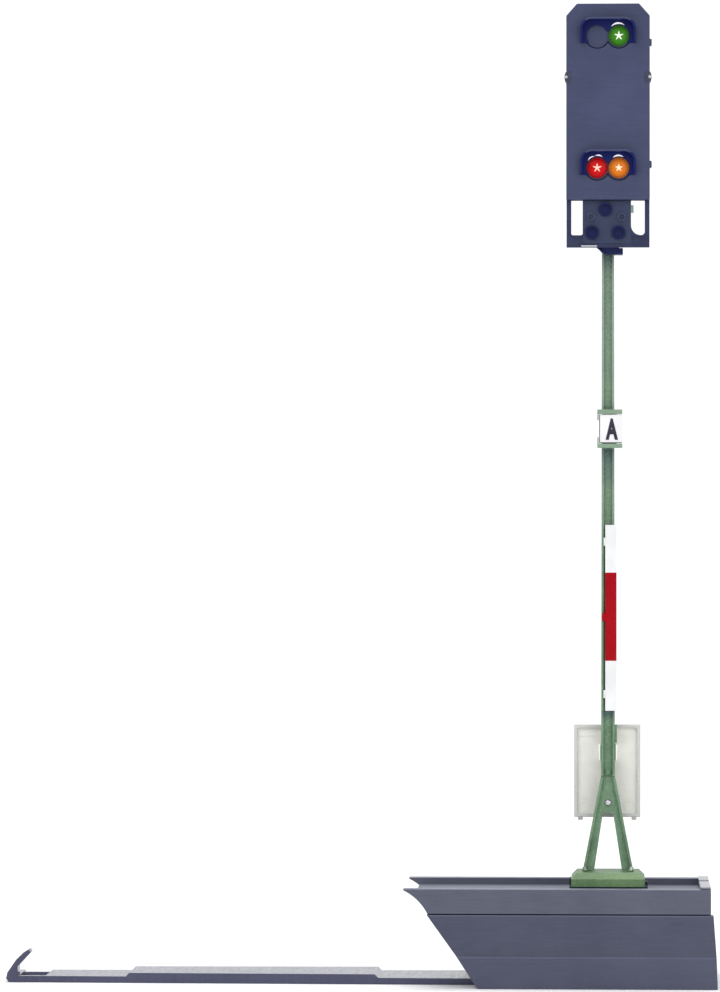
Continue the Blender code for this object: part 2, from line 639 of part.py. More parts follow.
# Head -----------------------------------------------------------------------------------------------------
def make_head_bracket():
    """The saddle on the mast's top: a collar round the mast and a back plate for the lower frame."""
    room = (MAST_HALF_TOP + 0.03 * MM, FLANGE_DEPTH / 2 + GAP)
    plate_y = (FRAME_Y[1] + GAP, -FLANGE_DEPTH / 2 - GAP)
    collar_z = (63.38 * MM, 63.92 * MM)
    bracket = block((-0.80 * MM, 1.30 * MM), (plate_y[0], 1.0 * MM), collar_z)
    join(bracket, block(both_sides(0.95 * MM), plate_y, (63.6 * MM, 68.4 * MM)))
    cut(bracket, block(both_sides(room[0]), both_sides(room[1]), (60 * MM, 70 * MM)))
    return as_part(bracket, "head_bracket", "head_plastic")


def lamp_opening(z):
    """The shield's opening for one lamp pair: square above, and round below each lens."""
    half, top, ledge = HOOD_HALF - 0.3 * MM, z + HOOD_ABOVE - 0.30 * MM, 0.6 * MM
    radius = BEZEL_RADIUS + 0.08 * MM
    outer = math.degrees(math.asin(ledge / radius))
    cusp = math.degrees(math.acos(LAMP_HALF_PITCH / radius))
    left = arc((-LAMP_HALF_PITCH, z), radius, 180 + outer, 360 - cusp, 8)
    right = arc((LAMP_HALF_PITCH, z), radius, 180 + cusp, 360 - outer, 8)
    return [(-half, z - ledge), *left, *right[1:], (half, z - ledge), (half, top - 0.6 * MM),
            (half - 0.6 * MM, top), (-half + 0.6 * MM, top), (-half, top - 0.6 * MM)]


def chamfered_top(half, low, high, corner):
    return [
        (-half, low), (half, low), (half, high - corner[1]), (half - corner[0], high),
        (-half + corner[0], high), (-half, high - corner[1]),
    ]


def make_signal_shield():
    outline = chamfered_top(HEAD_HALF, SHIELD_BOTTOM_Z, HEAD_TOP_Z, SHIELD_CORNER)
    shield = plate(outline, SHIELD_Y, [lamp_opening(z) for z in LAMP_ROWS])
    return as_part(shield, "signal_shield", "head_plastic")


def make_lower_frame():
    z = (FRAME_BOTTOM_Z, FRAME_TOP_Z)
    windows = [
        rounded_rectangle((-3.17 * MM, -2.20 * MM), (65.0 * MM, 68.0 * MM), 0.15 * MM, 2),
        rounded_rectangle((2.00 * MM, 3.19 * MM), (65.0 * MM, 68.0 * MM), 0.15 * MM, 2),
    ]
    frame = plate(rectangle(both_sides(HEAD_HALF - 0.02 * MM), z), FRAME_Y, windows)
    return as_part(frame, "lower_frame", "head_plastic")


def make_ring(name, x, z, outer, inner, reach):
    """A small round lamp housing on the face of the lower frame."""
    face = FRAME_Y[0] - GAP
    ring = slab(circle((x, z), outer, 14), (face - reach, face), [circle((x, z), inner, 14)])
    return as_part(ring, name, "head_plastic")


def hood_outline(z):
    top = z + HOOD_ABOVE

    def arch(half, height, radius):
        left = arc((-half + radius, height - radius), radius, 180, 90, 4)
        right = arc((half - radius, height - radius), radius, 90, 0, 4)
        return [(-half, z - HOOD_BELOW), *left, *right, (half, z - HOOD_BELOW)]

    outer = arch(HOOD_HALF, top, HOOD_CORNER)
    inner = arch(HOOD_HALF - HOOD_WALL, top - HOOD_WALL - 0.05 * MM, HOOD_CORNER - HOOD_WALL)
    return [*outer, *inner[::-1]]


def make_hood(name, z):
    """An arched visor over a lamp pair. Its front leans back, so it is deepest at the top."""
    back = SHIELD_Y[0] - GAP
    front = back - HOOD_REACH
    hood = plate(hood_outline(z), (front, back))
    top, foot = z + HOOD_ABOVE + 0.2 * MM, z - HOOD_BELOW - 0.2 * MM
    lean = [(front, top), (front - MM, top), (front - MM, foot), (back - HOOD_REACH / 2, foot)]
    cut(hood, plate(lean, both_sides(3 * MM), turn=90))
    return as_part(hood, name, "head_plastic")


def make_bezel(name, z):
    """The pad that carries a pair of lenses, on a backing plate that closes the shield's opening."""
    cusp = math.degrees(math.acos(LAMP_HALF_PITCH / BEZEL_RADIUS))
    right = arc((LAMP_HALF_PITCH, z), BEZEL_RADIUS, -180 + cusp, 180 - cusp, 14)
    left = arc((-LAMP_HALF_PITCH, z), BEZEL_RADIUS, cusp, 360 - cusp, 14)
    holes = [circle((x, z), LENS_RADIUS + 0.025 * MM, 16) for x in both_sides(LAMP_HALF_PITCH)]
    pad = plate([*right, *left[1:-1]], (SHIELD_Y[0] + 0.1 * MM, SHIELD_Y[1] + 0.2 * MM), holes)
    backing_z = (z - BEZEL_RADIUS - 0.25 * MM, z + HOOD_ABOVE - 0.05 * MM)
    backing_y = (SHIELD_Y[1] + GAP, SHIELD_Y[1] + 0.4 * MM)
    join(pad, plate(rectangle(both_sides(HOOD_HALF), backing_z), backing_y, holes))
    return as_part(pad, name, "head_plastic")


def make_lens(name, x, z, finish, domed=True):
    back, rim = -1.35 * MM, SHIELD_Y[0] - (0.05 * MM if domed else -0.07 * MM)
    lens = rod(LENS_RADIUS, (x, rim, z), (x, back, z), 16)
    if domed:
        dome_depth = 0.2 * MM
        bpy.ops.mesh.primitive_cone_add(
            vertices=16, radius1=LENS_RADIUS, radius2=LENS_RADIUS * 0.55, depth=dome_depth + 0.05 * MM,
            location=(x, rim - dome_depth / 2 + 0.025 * MM, z), rotation=(math.pi / 2, 0, 0)
        )
        join(lens, bpy.context.object)
    return as_part(lens, name, finish)


def case_outline(half, low, high):
    return chamfered_top(half, low, high, (0.8 * MM, 0.9 * MM))


CASE_HALF = 3.2 * MM
CASE_Z = (68.68 * MM, 84.6 * MM)
CASE_Y = (SHIELD_Y[1] + GAP, 1.2 * MM)
CASE_WALL = 0.35 * MM


def make_lamp_case():
    inner = case_outline(CASE_HALF - CASE_WALL, CASE_Z[0] + CASE_WALL, CASE_Z[1] - CASE_WALL)
    case = plate(case_outline(CASE_HALF, *CASE_Z), CASE_Y, [inner])
    lead_room = block(both_sides(0.25 * MM), (0.2 * MM, 0.8 * MM), (CASE_Z[0] - MM, CASE_Z[0] + MM))
    cut(case, lead_room)
    for z in (71.2 * MM, 81.8 * MM):
        join(case, block((CASE_HALF - 0.1 * MM, HEAD_HALF + 0.18 * MM), (-1.6 * MM, -0.6 * MM),
                         (z - 0.3 * MM, z + 0.3 * MM)))
    return as_part(case, "lamp_case", "head_plastic")


def make_case_back():
    y = (CASE_Y[1] + GAP, CASE_Y[1] + 0.45 * MM)
    lid = plate(case_outline(CASE_HALF, *CASE_Z), y)
    spigot = case_outline(CASE_HALF - CASE_WALL - GAP, CASE_Z[0] + CASE_WALL + GAP,
                          CASE_Z[1] - CASE_WALL - GAP)
    join(lid, plate(spigot, (CASE_Y[1] - 0.3 * MM, y[0] + 0.1 * MM)))
    return as_part(lid, "case_back", "head_plastic")


LAMP_BOARD_Y = (-0.45 * MM, -0.05 * MM)


def make_lamp_board():
    board = block(both_sides(2.75 * MM), LAMP_BOARD_Y, (69.3 * MM, 83.4 * MM))
    return as_part(board, "lamp_board", "board_green")


def make_led(name, x, z):
    back = LAMP_BOARD_Y[0] - GAP
    body = block((x - 0.5 * MM, x + 0.5 * MM), (back - 0.55 * MM, back), (z - 0.3 * MM, z + 0.3 * MM))
    return as_part(body, name, "led_body")


def make_shield_clip(name, side):
    """A spring clip round the shield's edge, which holds it to the lamp case."""
    z = 78.72 * MM
    half_height = 0.55 * MM
    outer, inner = HEAD_HALF + 0.17 * MM, HEAD_HALF + GAP
    front = SHIELD_Y[0] - 0.16 * MM
    lug_x = sorted((side * inner, side * outer))
    clip = block(lug_x, (front, -0.9 * MM), (z - half_height, z + half_height))
    hook_x = sorted((side * (HEAD_HALF - 0.42 * MM), side * (outer - 0.02 * MM)))
    hook = block(hook_x, (front, SHIELD_Y[0] - GAP), (z - half_height, z + half_height))
    anchor_x = sorted((side * (CASE_HALF + GAP), side * (outer - 0.02 * MM)))
    anchor = block(anchor_x, (-1.5 * MM, -0.9 * MM), (z - 0.4 * MM, z + 0.4 * MM))
    join(clip, hook, anchor)
    return as_part(clip, name, "head_plastic")


def make_platform():
    """The servicing platform behind the head."""
    z = (64.50 * MM, 64.74 * MM)
    floor = block(both_sides(3.3 * MM), (1.06 * MM, 3.6 * MM), z)
    bars = 9
    pitch = 6.0 * MM / bars
    for i in range(bars):
        x = -3.0 * MM + pitch * i
        cut(floor, block((x + 0.1 * MM, x + pitch - 0.1 * MM), (1.4 * MM, 3.3 * MM), (60 * MM, 70 * MM)))
    return as_part(floor, "platform", "head_plastic")


def make_platform_bracket():
    """Carries the platform from the mast's rear face."""
    rear = 3.4 * MM
    outline = [(0.70 * MM, 62.9 * MM), (rear, 64.24 * MM), (rear, 64.46 * MM), (1.05 * MM, 64.46 * MM),
               (1.05 * MM, 63.3 * MM), (0.70 * MM, 63.3 * MM)]
    bracket = plate(outline, both_sides(0.45 * MM), turn=90)
    return as_part(bracket, "platform_bracket", "head_plastic")


# Assembly -------------------------------------------------------------------------------------------------
def make_base():
    make_base_housing()
    make_base_cover()
    make_base_floor()
    for index, (x, y) in enumerate(SCREW_PLACES):
        make_floor_screw(f"floor_screw_{index + 1}", x, y)
    make_circuit_board()
    make_board_components()
    make_terminal_block()
    make_mast_socket()
    make_arm_latch()
    make_end_clip()


def make_mast():
    make_foot_plate()
    make_plug_pins()
    make_trestle()
    make_foot_bolts()
    make_mast_post()
    make_letter_holder()
    make_letter_plate()
    make_mast_sign()
    make_cabinet()
    make_cabinet_clip()
    make_lamp_leads()


def make_head():
    make_head_bracket()
    make_signal_shield()
    make_lower_frame()
    make_ring("call_on_lamp_top", -0.22 * MM, 67.27 * MM, 0.60 * MM, 0.44 * MM, 0.45 * MM)
    make_ring("call_on_lamp_left", -1.38 * MM, 65.25 * MM, 0.60 * MM, 0.44 * MM, 0.45 * MM)
    make_ring("call_on_lamp_right", 0.92 * MM, 65.25 * MM, 0.60 * MM, 0.44 * MM, 0.45 * MM)
    make_ring("shunt_lamp_left", -1.50 * MM, 66.59 * MM, 0.36 * MM, 0.26 * MM, 0.15 * MM)
    make_ring("shunt_lamp_right", 1.18 * MM, 66.59 * MM, 0.36 * MM, 0.26 * MM, 0.15 * MM)
    lower, upper = LAMP_ROWS
    make_hood("lower_hood", lower)
    make_hood("upper_hood", upper)
    make_bezel("lower_bezel", lower)
    make_bezel("upper_bezel", upper)
    make_lens("red_lens", -LAMP_HALF_PITCH, lower, "red_lens")
    make_lens("orange_lens", LAMP_HALF_PITCH, lower, "orange_lens")
    make_lens("green_lens", LAMP_HALF_PITCH, upper, "green_lens")
    make_lens("blank_lens", -LAMP_HALF_PITCH, upper, "head_plastic", domed=False)
    make_lamp_case()
    make_case_back()
    make_lamp_board()
    make_led("red_led", -LAMP_HALF_PITCH, lower)
    make_led("orange_led", LAMP_HALF_PITCH, lower)
    make_led("green_led", LAMP_HALF_PITCH, upper)
    make_shield_clip("shield_clip_left", -1)
    make_shield_clip("shield_clip_right", 1)
    make_platform()
    make_platform_bracket()


start_scene()
make_base()
make_track_arm()
make_mast()
make_head()
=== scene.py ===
import json
import math

import bmesh
import bpy
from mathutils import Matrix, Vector


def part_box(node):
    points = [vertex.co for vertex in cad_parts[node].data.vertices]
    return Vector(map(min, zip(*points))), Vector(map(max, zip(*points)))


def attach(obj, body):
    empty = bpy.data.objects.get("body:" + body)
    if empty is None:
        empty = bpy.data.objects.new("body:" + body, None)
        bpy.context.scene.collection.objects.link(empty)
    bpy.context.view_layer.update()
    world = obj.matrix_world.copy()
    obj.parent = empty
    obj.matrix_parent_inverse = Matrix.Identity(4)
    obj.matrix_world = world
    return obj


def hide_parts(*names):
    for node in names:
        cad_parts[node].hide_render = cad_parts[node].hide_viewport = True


mm = 0.001
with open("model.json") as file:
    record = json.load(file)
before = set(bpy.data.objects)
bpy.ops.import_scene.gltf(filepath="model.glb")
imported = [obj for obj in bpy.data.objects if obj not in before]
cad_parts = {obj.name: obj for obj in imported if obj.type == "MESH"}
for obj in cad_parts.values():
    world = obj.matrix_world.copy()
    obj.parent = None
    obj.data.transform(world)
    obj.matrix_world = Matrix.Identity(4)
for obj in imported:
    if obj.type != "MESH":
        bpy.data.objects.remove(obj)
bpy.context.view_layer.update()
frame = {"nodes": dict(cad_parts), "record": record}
nodes = frame["nodes"]
slots = {entry["node"]: entry["material_slot"] for entry in frame["record"]["subparts"]}
print("frame loaded:", len(nodes), "nodes")


# a socket of a material that can be used in sums
class Link:
    def __init__(self, finish, socket):
        self.finish = finish
        self.socket = socket

    def maths(self, operation, *others, clamp=False):
        return self.finish.maths(operation, self, *others, clamp=clamp)

    def __add__(self, other):
        return self.maths("ADD", other)

    def __mul__(self, other):
        return self.maths("MULTIPLY", other)

    def __sub__(self, other):
        return self.maths("SUBTRACT", other)

    def __rsub__(self, other):
        return self.finish.maths("SUBTRACT", other, self)

    def __truediv__(self, other):
        return self.maths("DIVIDE", other)

    def __pow__(self, other):
        return self.maths("POWER", other)

    __radd__ = __add__
    __rmul__ = __mul__

    def sine(self):
        return self.maths("SINE")

    def size(self):
        return self.maths("ABSOLUTE")

    def between(self, low, high):  # 0 at low, 1 at high, clamped
        return self.finish.node(
            "ShaderNodeMapRange", {"interpolation_type": "SMOOTHSTEP"},
            {"Value": self, "From Min": low, "From Max": high, "To Min": 0.0, "To Max": 1.0})


# a material with its Principled shader; lengths in it are millimetres
class Finish:
    def __init__(self, name, **sockets):
        self.material = bpy.data.materials.new(name)
        self.material.use_nodes = True
        self.tree = self.material.node_tree
        self.shader = self.tree.nodes["Principled BSDF"]
        for key, value in sockets.items():
            self.shader.inputs[key.replace("_", " ")].default_value = value
        self.objectPlace = self.node("ShaderNodeTexCoord", {}, {}, "Object")
        self.place = self.stretched((1, 1, 1))

    def node(self, kind, settings, inputs, output=0):
        made = self.tree.nodes.new(kind)
        stops = settings.pop("stops", None)
        for key, value in settings.items():
            setattr(made, key, value)
        if stops:
            ramp = made.color_ramp.elements
            for _ in range(len(stops) - 2):
                ramp.new(0.5)
            for element, (position, colour) in zip(ramp, stops):
                element.position = position
                element.color = (*colour, 1)
        for key, value in inputs.items():
            if isinstance(value, Link):
                self.tree.links.new(value.socket, made.inputs[key])
            elif value is not None:
                made.inputs[key].default_value = value
        return Link(self, made.outputs[output])

    def maths(self, operation, *values, clamp=False):
        return self.node("ShaderNodeMath", {"operation": operation, "use_clamp": clamp},
                         dict(enumerate(values)))

    def stretched(self, scale, centre=(0, 0, 0)):  # object coordinates in millimetres, stretched
        shift = tuple(-c * s for c, s in zip(centre, scale))
        return self.node("ShaderNodeMapping", {}, {
            "Vector": self.objectPlace, "Scale": tuple(1000 * s for s in scale), "Location": shift})

    def axes(self):
        split = self.node("ShaderNodeSeparateXYZ", {}, {"Vector": self.place})
        outputs = split.socket.node.outputs
        return [Link(self, outputs[i]) for i in range(3)]

    def noise(self, scale, detail=3.0, roughness=0.5, stretch=None):
        place = self.stretched(stretch) if stretch else self.place
        return self.node("ShaderNodeTexNoise", {}, {
            "Vector": place, "Scale": scale, "Detail": detail, "Roughness": roughness})

    def mix(self, share, first, second):
        colours = [c if isinstance(c, Link) else (*c, 1) for c in (first, second)]
        return self.node("ShaderNodeMix", {"data_type": "RGBA"},
                         {0: share, 6: colours[0], 7: colours[1]}, 2)

    def bump(self, height, strength=0.5, depth=0.02):
        return self.node("ShaderNodeBump", {}, {
            "Height": height, "Strength": strength, "Distance": depth * mm})

    def feed(self, **links):
        for key, link in links.items():
            self.tree.links.new(link.socket, self.shader.inputs[key.replace("_", " ")])
        return self


# a dyed plastic: cloudy tone, fine flow streaks along one axis, a faint grain
def mouldedPlastic(name, dark, light, rough=0.42, streak=(0.5, 0.5, 9), grain=22, relief=0.4,
                   coat=0.0, gloss=0.35, glow=0.0, marksAndHighlights=None):
    finish = Finish(name, Coat_Weight=coat, Coat_Roughness=0.25, Specular_IOR_Level=gloss,
                    Emission_Strength=glow)
    clouds = finish.noise(0.16, 4, 0.6)
    streaks = finish.noise(1.1, 3, 0.55, streak)
    fine = finish.noise(grain, 2, 0.6)
    tone = finish.maths("ADD", clouds * 0.55 + streaks * 0.35, fine * 0.10).between(0.30, 0.70)
    colour = finish.mix(tone, dark, light)
    height = fine * 0.6 + streaks * 0.4
    # marks mixed in paler: mould marks and painted highlights along edges
    if marksAndHighlights:
        markAndHighlightMask = marksAndHighlights(finish)
        colour = finish.mix(markAndHighlightMask * 0.30, colour, tuple(min(1, 2.6 * c) for c in light))
        height = height + markAndHighlightMask * 1.5
    finish.feed(Base_Color=colour, Roughness=rough + (streaks - 0.5) * 0.16 + (fine - 0.5) * 0.12,
                Normal=finish.bump(height, relief, 0.012))
    return finish


# painted highlights: thin paler lines along level edges
def edgeHighlights(z, levels, width=0.07):
    total = 1 - (z - levels[0]).size().between(0.0, width)
    for level in levels[1:]:
        total = total + (1 - (z - level).size().between(0.0, width))
    return total


# painted highlights along the step and along the top edge below the cover
def housingHighlightsAndBand(finish):  # its lower band is a shade paler too
    x, y, z = finish.axes()
    return edgeHighlights(z, (2.72, 6.30), 0.09) * 1.3 + (1 - z.between(2.60, 2.75)) * 0.22


# faint rings that ejector pins leave in the cover's channel, and a painted highlight along the rim's top edge
def ejectorRingsAndHighlight(finish):
    x, y, z = finish.axes()
    total = None
    for ringX, ringY, radius in ((-5.4, -0.3, 1.5), (5.1, 0.2, 1.35)):
        reach = finish.maths("SQRT", (x - ringX) ** 2 + (y - ringY) ** 2)
        ring = 1 - ((reach - radius).size()).between(0.03, 0.16)
        total = ring if total is None else total + ring
    broken = finish.noise(1.9, 3).between(0.44, 0.60)
    channel = (1 - z.between(8.05, 8.15)) * (1 - y.size().between(6.30, 6.42)) * 0.5  # the channel floor is paler
    return (total * broken + channel) * z.between(7.85, 7.95) + edgeHighlights(z, (8.56,))


plastics = {
    "slate": {"dark": (0.041, 0.045, 0.078), "light": (0.061, 0.066, 0.104), "rough": 0.44,
              "marksAndHighlights": housingHighlightsAndBand},
    "cover": {"dark": (0.066, 0.070, 0.102), "light": (0.090, 0.096, 0.134), "rough": 0.42,
              "marksAndHighlights": ejectorRingsAndHighlight},
    "armSlate": {"dark": (0.036, 0.038, 0.080), "light": (0.052, 0.054, 0.106), "rough": 0.20,
                 "streak": (3, 0.4, 0.4), "relief": 0.12, "gloss": 0.5},
    "head": {"dark": (0.030, 0.039, 0.090), "light": (0.044, 0.054, 0.118), "rough": 0.46},
    "centre": {"dark": (0.012, 0.022, 0.060), "light": (0.026, 0.036, 0.084), "rough": 0.46},
    "frameBlue": {"dark": (0.006, 0.010, 0.040), "light": (0.022, 0.028, 0.080), "rough": 0.44,
                  "streak": (0.6, 0.6, 1.5)},
    "navy": {"dark": (0.003, 0.006, 0.045), "light": (0.006, 0.012, 0.070), "rough": 0.50, "gloss": 0.15},
    # painted shade for the hood's sides and well, in a blue brighter than navy so the shaded well still reads
    # lit
    "wellShadeBlue": {"dark": (0.003, 0.007, 0.080), "light": (0.005, 0.011, 0.115), "rough": 0.50, "gloss": 0.15},
    "ivory": {"dark": (0.800, 0.795, 0.735), "light": (0.900, 0.895, 0.850), "rough": 0.38,
              "streak": (0.5, 0.5, 4), "relief": 0.2, "coat": 0.1},
    "cabinetIvory": {"dark": (0.730, 0.722, 0.665), "light": (0.830, 0.822, 0.765), "rough": 0.42,
                     "streak": (0.5, 0.5, 0.8), "relief": 0.15},
    # painted shade for the cabinet's rim and inner walls
    "rimShade": {"dark": (0.500, 0.500, 0.480), "light": (0.600, 0.598, 0.575), "rough": 0.42, "relief": 0.15},
    "black": {"dark": (0.010, 0.010, 0.012), "light": (0.024, 0.024, 0.028), "rough": 0.5},
    "socketDark": {"dark": (0.006, 0.014, 0.016), "light": (0.018, 0.030, 0.034), "rough": 0.55, "gloss": 0.2},
}
finishes = {name: mouldedPlastic(name + "Plastic", **values) for name, values in plastics.items()}


# painted grey-green, darker in patches and worn paler on the raised grain
def mastPaint(name, dark, light, worn):
    finish = Finish(name)
    x, y, z = finish.axes()
    clouds = finish.noise(0.35, 4, 0.6)
    speckle = finish.noise(7, 4, 0.65)
    grain = finish.noise(30, 2)
    colour = finish.mix((clouds * 0.6 + speckle * 0.4).between(0.36, 0.66), dark, light)
    colour = finish.mix((speckle * grain).between(0.30, 0.42) * 0.5, colour, worn)
    colour = finish.mix(z.between(18, 62) * 0.55, colour, (0.265, 0.330, 0.270))  # paler up the post
    for level, depth in ((63.4, 2.6), (46.4, 4.2), (23.6, 1.2)):  # painted shadow below each fitting
        below = (level - z) / depth
        fittingShadow = (1 - below.between(0.0, 1.0)) * (z - level).between(0.1, 0.0)
        colour = finish.mix(fittingShadow * 0.7, colour, (0.060, 0.105, 0.120))
    finish.feed(Base_Color=colour, Roughness=0.48 + (speckle - 0.5) * 0.3,
                Normal=finish.bump(speckle * 0.5 + grain * 0.5, 0.5, 0.018))
    return finish


# glossy printed plate; a band between two heights is another colour
def enamelPlate(name, ground, band=None, bandRange=(0, 0)):
    finish = Finish(name, Specular_IOR_Level=0.12)
    x, y, z = finish.axes()
    clouds = finish.noise(0.5, 3)
    grain = finish.noise(18, 2)
    colour = finish.mix(clouds.between(0.35, 0.7), tuple(0.90 * c for c in ground), ground)
    if band:
        wander = (grain - 0.5) * 0.02
        inside = (z + wander).between(bandRange[0], bandRange[0] + 0.03) * (
            z + wander).between(bandRange[1], bandRange[1] - 0.03)
        red = finish.mix(clouds.between(0.3, 0.7), tuple(0.88 * c for c in band), band)
        colour = finish.mix(inside, colour, red)
    finish.feed(Base_Color=colour, Roughness=0.30 + (grain - 0.5) * 0.10,
                Normal=finish.bump(grain, 0.25, 0.006))
    return finish


# tinted lens over a lit lamp: ribbed rings, a bright star-shaped core that is partly the lamp's hot spot and
# partly a painted glint
def litLens(name, colour, centre, core):
    finish = Finish(name, Coat_Weight=0.05, Coat_Roughness=0.2, Specular_IOR_Level=0.10, Emission_Strength=1.0)
    x, y, z = finish.axes()
    across, up = x - centre[0], z - centre[1]
    reach = finish.maths("SQRT", across ** 2 + up ** 2)
    turn = finish.maths("ARCTAN2", up, across)
    # painted glint: a white star round the lens centre, mixed into both the base colour and the glow
    arms = ((turn * 5).sine() * 0.5 + 0.5) ** 2.2 * core["arms"] + core["radius"]
    glow = (arms - reach).between(-0.09, 0.11) * core["strength"]
    rings = (reach * (2 * math.pi / 0.16)).sine()
    edge = reach.between(0.40, 0.88)
    speckle = finish.noise(6, 3)
    spokes = (turn * 18).sine() * 0.5 + 0.5
    dim = tuple(0.42 * c for c in colour)
    tint = finish.mix(edge * 0.7 + (speckle - 0.5) * 0.5 + spokes * 0.25, colour, dim)
    finish.feed(
        Base_Color=finish.mix(glow, tint, tuple(0.45 * c for c in core["light"])),
        Emission_Color=finish.mix(glow, finish.mix(edge, tuple(0.22 * c for c in colour),
                                                   tuple(0.06 * c for c in colour)),
                                  tuple(0.60 * c for c in core["light"])),
        Roughness=0.30 + speckle * 0.1,
        Normal=finish.bump(rings, 0.30, 0.02))
    return finish


def brushedMetal(name, dark, light, rough, scale=14):
    finish = Finish(name, Metallic=1.0)
    scratches = finish.noise(scale, 4, 0.6, (1, 1, 0.15))
    blotch = finish.noise(1.5, 3)
    finish.feed(Base_Color=finish.mix((scratches * 0.5 + blotch * 0.5).between(0.3, 0.7), dark, light),
                Roughness=rough + (scratches - 0.5) * 0.25,
                Normal=finish.bump(scratches, 0.3, 0.008))
    return finish


# solder-masked board: tracks show as slightly raised paler lines
def boardFinish():
    finish = Finish("boardLaminate", Coat_Weight=0.4, Coat_Roughness=0.1)
    cells = finish.node("ShaderNodeTexVoronoi", {"distance": "CHEBYCHEV", "feature": "F1"}, {
        "Vector": finish.place, "Scale": 0.9})
    tracks = 1 - ((cells - 0.35).size()).between(0.02, 0.06)
    colour = finish.mix(tracks, (0.010, 0.115, 0.045), (0.030, 0.230, 0.090))
    finish.feed(Base_Color=colour, Roughness=0.35 + finish.noise(9) * 0.2,
                Normal=finish.bump(tracks, 0.4, 0.02))
    return finish


finishes.update({
    "mast": mastPaint("mastPaint", (0.090, 0.180, 0.098), (0.175, 0.292, 0.172), (0.320, 0.430, 0.295)),
    "lattice": mastPaint("latticePaint", (0.120, 0.225, 0.130), (0.260, 0.390, 0.250), (0.420, 0.530, 0.380)),
    "foot": mastPaint("footPaint", (0.092, 0.178, 0.072), (0.150, 0.262, 0.118), (0.340, 0.450, 0.280)),
    "signRedWhite": enamelPlate("signEnamel", (0.78, 0.78, 0.78), (0.34, 0.000, 0.006), (27.98, 35.70)),
    "plateWhite": enamelPlate("plateEnamel", (0.82, 0.80, 0.82)),
    "plateInkAndShade": mouldedPlastic("plateInkAndShade", (0.010, 0.010, 0.022), (0.030, 0.028, 0.050), 0.4),
    "steel": brushedMetal("screwSteel", (0.36, 0.36, 0.38), (0.66, 0.66, 0.68), 0.32),
    "brass": brushedMetal("contactBrass", (0.52, 0.34, 0.10), (0.80, 0.58, 0.24), 0.30),
    "bolt": brushedMetal("wornBolt", (0.06, 0.11, 0.06), (0.62, 0.70, 0.60), 0.26, 9),
    "clipSlate": mouldedPlastic("endClipPlastic", (0.12, 0.12, 0.145), (0.20, 0.20, 0.23), 0.25, gloss=0.5,
                                coat=0.3),
    "clipLug": mouldedPlastic("clipLugPlastic", (0.020, 0.024, 0.045), (0.050, 0.056, 0.085), 0.35),
    "board": boardFinish(),
    "clear": mouldedPlastic("lampCollarPlastic", (0.80, 0.80, 0.80), (0.92, 0.92, 0.92), 0.2, coat=0.6),
    # faint glow for the collar crescents: partly the lamp's spill, partly a painted highlight
    "spillHighlight": mouldedPlastic("lampSpillHighlight", (0.84, 0.84, 0.84), (0.92, 0.92, 0.92), 0.3, glow=0.25),
    "enamelWireRed": mouldedPlastic("wireEnamelRed", (0.28, 0.05, 0.02), (0.45, 0.10, 0.04), 0.3, coat=0.5),
    "enamelWireGreen": mouldedPlastic("wireEnamelGreen", (0.03, 0.14, 0.05), (0.06, 0.24, 0.09), 0.3,
                                      coat=0.5),
})
print("finishes made:", len(finishes))


def clearSelection():
    active = bpy.context.view_layer.objects.active
    if active and active.mode != "OBJECT":
        bpy.ops.object.mode_set(mode="OBJECT")
    bpy.ops.object.select_all(action="DESELECT")


def selectOnly(piece):
    clearSelection()
    piece.select_set(True)
    bpy.context.view_layer.objects.active = piece
    return piece


def settle(piece):  # puts the place, turn and scale into the mesh
    selectOnly(piece)
    bpy.ops.object.transform_apply(location=True, rotation=True, scale=True)
    return piece


def addBlock(name, low, high):
    clearSelection()
    middle = [(a + b) / 2 * mm for a, b in zip(low, high)]
    bpy.ops.mesh.primitive_cube_add(size=1, location=middle)
    piece = bpy.context.object
    piece.name = piece.data.name = name
    piece.scale = [abs(b - a) * mm for a, b in zip(low, high)]
    return settle(piece)


def addRod(name, radius, start, end, sides=32, tip=None):
    clearSelection()
    start, end = Vector(start) * mm, Vector(end) * mm
    bpy.ops.mesh.primitive_cone_add(
        vertices=sides, radius1=radius * mm, radius2=(radius if tip is None else tip) * mm,
        depth=(end - start).length, location=(start + end) / 2,
        rotation=(end - start).to_track_quat("Z", "Y").to_euler())
    piece = bpy.context.object
    piece.name = piece.data.name = name
    return settle(piece)


def choose(piece, kind, test):  # edit mode, with what passes the test selected
    selectOnly(piece)
    bpy.ops.object.mode_set(mode="EDIT")
    bpy.ops.mesh.select_mode(type=kind)
    bpy.ops.mesh.select_all(action="DESELECT")
    mesh = bmesh.from_edit_mesh(piece.data)
    for part in {"VERT": mesh.verts, "EDGE": mesh.edges, "FACE": mesh.faces}[kind]:
        if test(part):
            part.select_set(True)
    mesh.select_flush_mode()
    bmesh.update_edit_mesh(piece.data)


def endEdit():
    bpy.ops.object.mode_set(mode="OBJECT")


def facing(*direction):
    way = Vector(direction)
    return lambda face: face.normal.dot(way) > 0.9


def modify(piece, kind, **settings):
    selectOnly(piece)
    modifier = piece.modifiers.new(kind.lower(), kind)
    for key, value in settings.items():
        setattr(modifier, key, value)
    bpy.ops.object.modifier_apply(modifier=modifier.name)
    return piece


def combine(piece, operation, *tools):
    for tool in tools:
        modify(piece, "BOOLEAN", operation=operation, solver="EXACT", object=tool)
        bpy.data.objects.remove(tool, do_unlink=True)
    return piece


def joined(name, pieces):  # one object of several, which may stay separate shells
    clearSelection()
    for piece in pieces:
        piece.select_set(True)
    bpy.context.view_layer.objects.active = pieces[0]
    bpy.ops.object.join()
    pieces[0].name = pieces[0].data.name = name
    return pieces[0]


